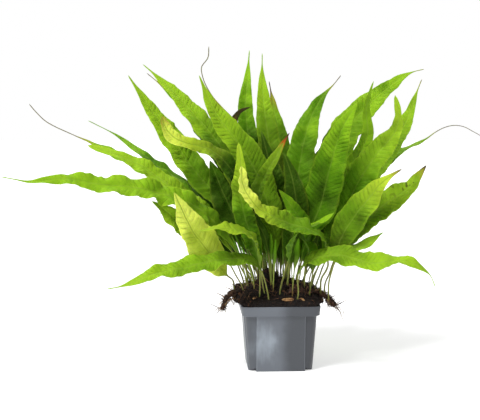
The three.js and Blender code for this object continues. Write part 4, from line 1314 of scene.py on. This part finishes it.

# How each frond differs: how light and how yellow it is, from what share of the blade towards its tip it
# has dried, and how much lighter and yellower it turns there. How light a frond is is partly its own tone
# and partly painted light and shade: fronds deep in the middle are darker as painted shade, and a few
# shaded ones, such as left_low_behind, are lighter as painted light. The fronds at the back, which no one
# tells apart, draw theirs.
tones = {
    "left_long": (0.65, 0.06, 1.3, 0.0, 0.0), "left_tail": (0.35, 0.05, 0.78, 0.0, 0.0),
    "left_fold": (0.65, 0.15, 1.3, 0.2, 0.0), "left_narrow": (-0.1, 0.0, 1.3, 0.1, 0.0),
    "left_tall": (0.35, 0.05, 1.3, 0.35, 0.1), "left_top": (-0.1, 0.05, 1.3, 0.85, 0.1),
    "left_top_back": (-0.1, 0.0, 0.97, 0.2, 0.0), "left_yellow_tip": (-0.7, -0.1, 1.04, 0.5, 0.95),
    "mid_left_tall": (0.5, 0.05, 1.3, 0.45, 0.1), "mid_left_thread": (0.1, 0.0, 0.77, 0.0, 0.0),
    "top_left": (-0.5, 0.0, 1.3, 0.75, 0.0), "top_mid": (-0.3, 0.05, 1.3, 0.5, 0.1),
    "top_dark": (-0.2, 0.05, 0.93, 0.0, 0.0), "mid_brown_curl": (-0.2, 0.1, 0.86, 0.0, 0.0),
    "mid_brown_tip": (0.2, 0.05, 0.93, 0.0, 0.2), "right_mid_tall": (0.4, 0.0, 0.97, -0.35, 0.0),
    "right_quilted": (0.2, 0.0, 1.3, 0.2, 0.0), "right_twisted": (0.1, 0.05, 1.3, 0.1, 0.0),
    "right_top": (0.2, 0.05, 1.03, 0.1, 0.0), "right_top_outer": (0.0, 0.05, 1.02, 0.1, 0.1),
    "right_light_tip": (0.4, 0.0, 1.3, -0.1, 0.3), "right_thin_tail": (0.3, 0.05, 0.78, 0.0, 0.0),
    "right_dark_tip": (0.25, 0.1, 0.97, 0.0, 0.1), "right_broad_light": (0.1, 0.05, 0.98, 0.3, 0.6),
    "right_small": (0.9, 0.1, 1.3, 0.0, 0.0), "right_low": (0.5, 0.1, 1.3, -0.1, 0.1),
    "left_low": (0.35, 0.08, 1.3, 0.3, 0.1), "left_pale": (0.55, 0.48, 1.3, 0.4, 0.45),
    "left_low_behind": (1.1, 0.2, 1.3, 0.0, 0.0), "front_pale_curl": (0.3, 0.05, 1.3, 0.6, 1.0),
    "mid_crinkled": (0.35, 0.0, 1.3, 0.8, 0.4), "mid_light_fold": (0.2, 0.0, 1.3, 0.3, 0.0),
    "front_facing": (0.9, 0.0, 1.3, 0.2, 0.0), "front_flat": (0.9, 0.2, 1.3, 0.1, 0.2),
    "left_dark_low": (-0.2, 0.0, 1.3, 0.0, 0.0), "mid_right_dark": (-0.6, 0.0, 1.3, 0.1, 0.0),
    "mid_dark": (-0.7, 0.0, 1.3, 0.0, 0.0), "mid_low_left": (-0.75, 0.0, 1.3, 0.0, 0.0),
    "mid_low_inner": (-0.2, 0.05, 1.3, 0.0, 0.0), "mid_low_centre": (-0.5, 0.0, 1.3, 0.0, 0.0),
    "mid_low_right": (-0.3, 0.0, 1.3, 0.0, 0.0),
}
# How much deeper than the frame's frond a blade folds along its rib, as a share of its half width.
folds = {"right_quilted": 2.5, "mid_brown_tip": 0.0, "left_yellow_tip": 2.0}
# How wide a blade stays up to a blunt or crumpled end, as half its width in mm.
blunt_ends = {
    "mid_crinkled": 3.6, "front_pale_curl": 7.0, "left_yellow_tip": 6.0, "right_light_tip": 3.4,
    "left_fold": 4.0,
}
# How high and how long the waves of a blade's margin are, in mm, where they aren't the plain ones.
ruffles = {
    "mid_crinkled": (8.0, 7.0), "front_pale_curl": (4.5, 9.0), "right_light_tip": (3.6, 11.0),
    "left_yellow_tip": (4.2, 10.0), "left_long": (4.4, 14.0), "left_low": (3.8, 14.0),
    "right_low": (4.2, 14.0), "left_fold": (4.0, 12.0), "mid_light_fold": (4.0, 10.0),
    "left_low_behind": (4.0, 12.0), "right_dark_tip": (3.8, 15.0), "front_flat": (3.4, 9.0),
    "right_quilted": (2.2, 13.0),
}
draw = random.Random(11)
for order, node in enumerate(sorted(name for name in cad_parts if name.startswith("frond_"))):
    kind = node.removeprefix("frond_")
    form = folds.get(kind, 0.9), blunt_ends.get(kind, 0.0)
    frond = blade_skin(node.replace("frond", "leaf"), node, order * 3.7, *form)
    spacing = vein_spacing * (1 + 0.18 * math.sin(order * 2.9))
    high, long = ruffles.get(kind, plain_ruffle)
    waves = {"Vein spacing": spacing, "Ruffle height": high, "Ruffle length": long}
    grown(frond, relief, {**waves, "Seed": order * 1.7, "Finish": leaf_finish})
    light, yellow, tip_light, tip_yellow = (
        draw.uniform(low, high) for low, high in ((-0.3, 0.4), (0.0, 0.12), (0.0, 0.3), (0.0, 0.3))
    )
    tone = tones.get(kind, (light, yellow, 1.3, tip_light, tip_yellow))
    spots = 0.9 if kind == "right_dark_tip" else 0.0
    rust = 1.0 if kind == "mid_brown_tip" else 0.0
    kinds = {"tone": tone[:3], "kin": (order * 1.7, *tone[3:]), "veins": (spacing, spots, rust)}
    for label, value in kinds.items():
        note(frond, label, list(value) * len(frond.data.vertices))
    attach(frond, "root")
    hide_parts(node)
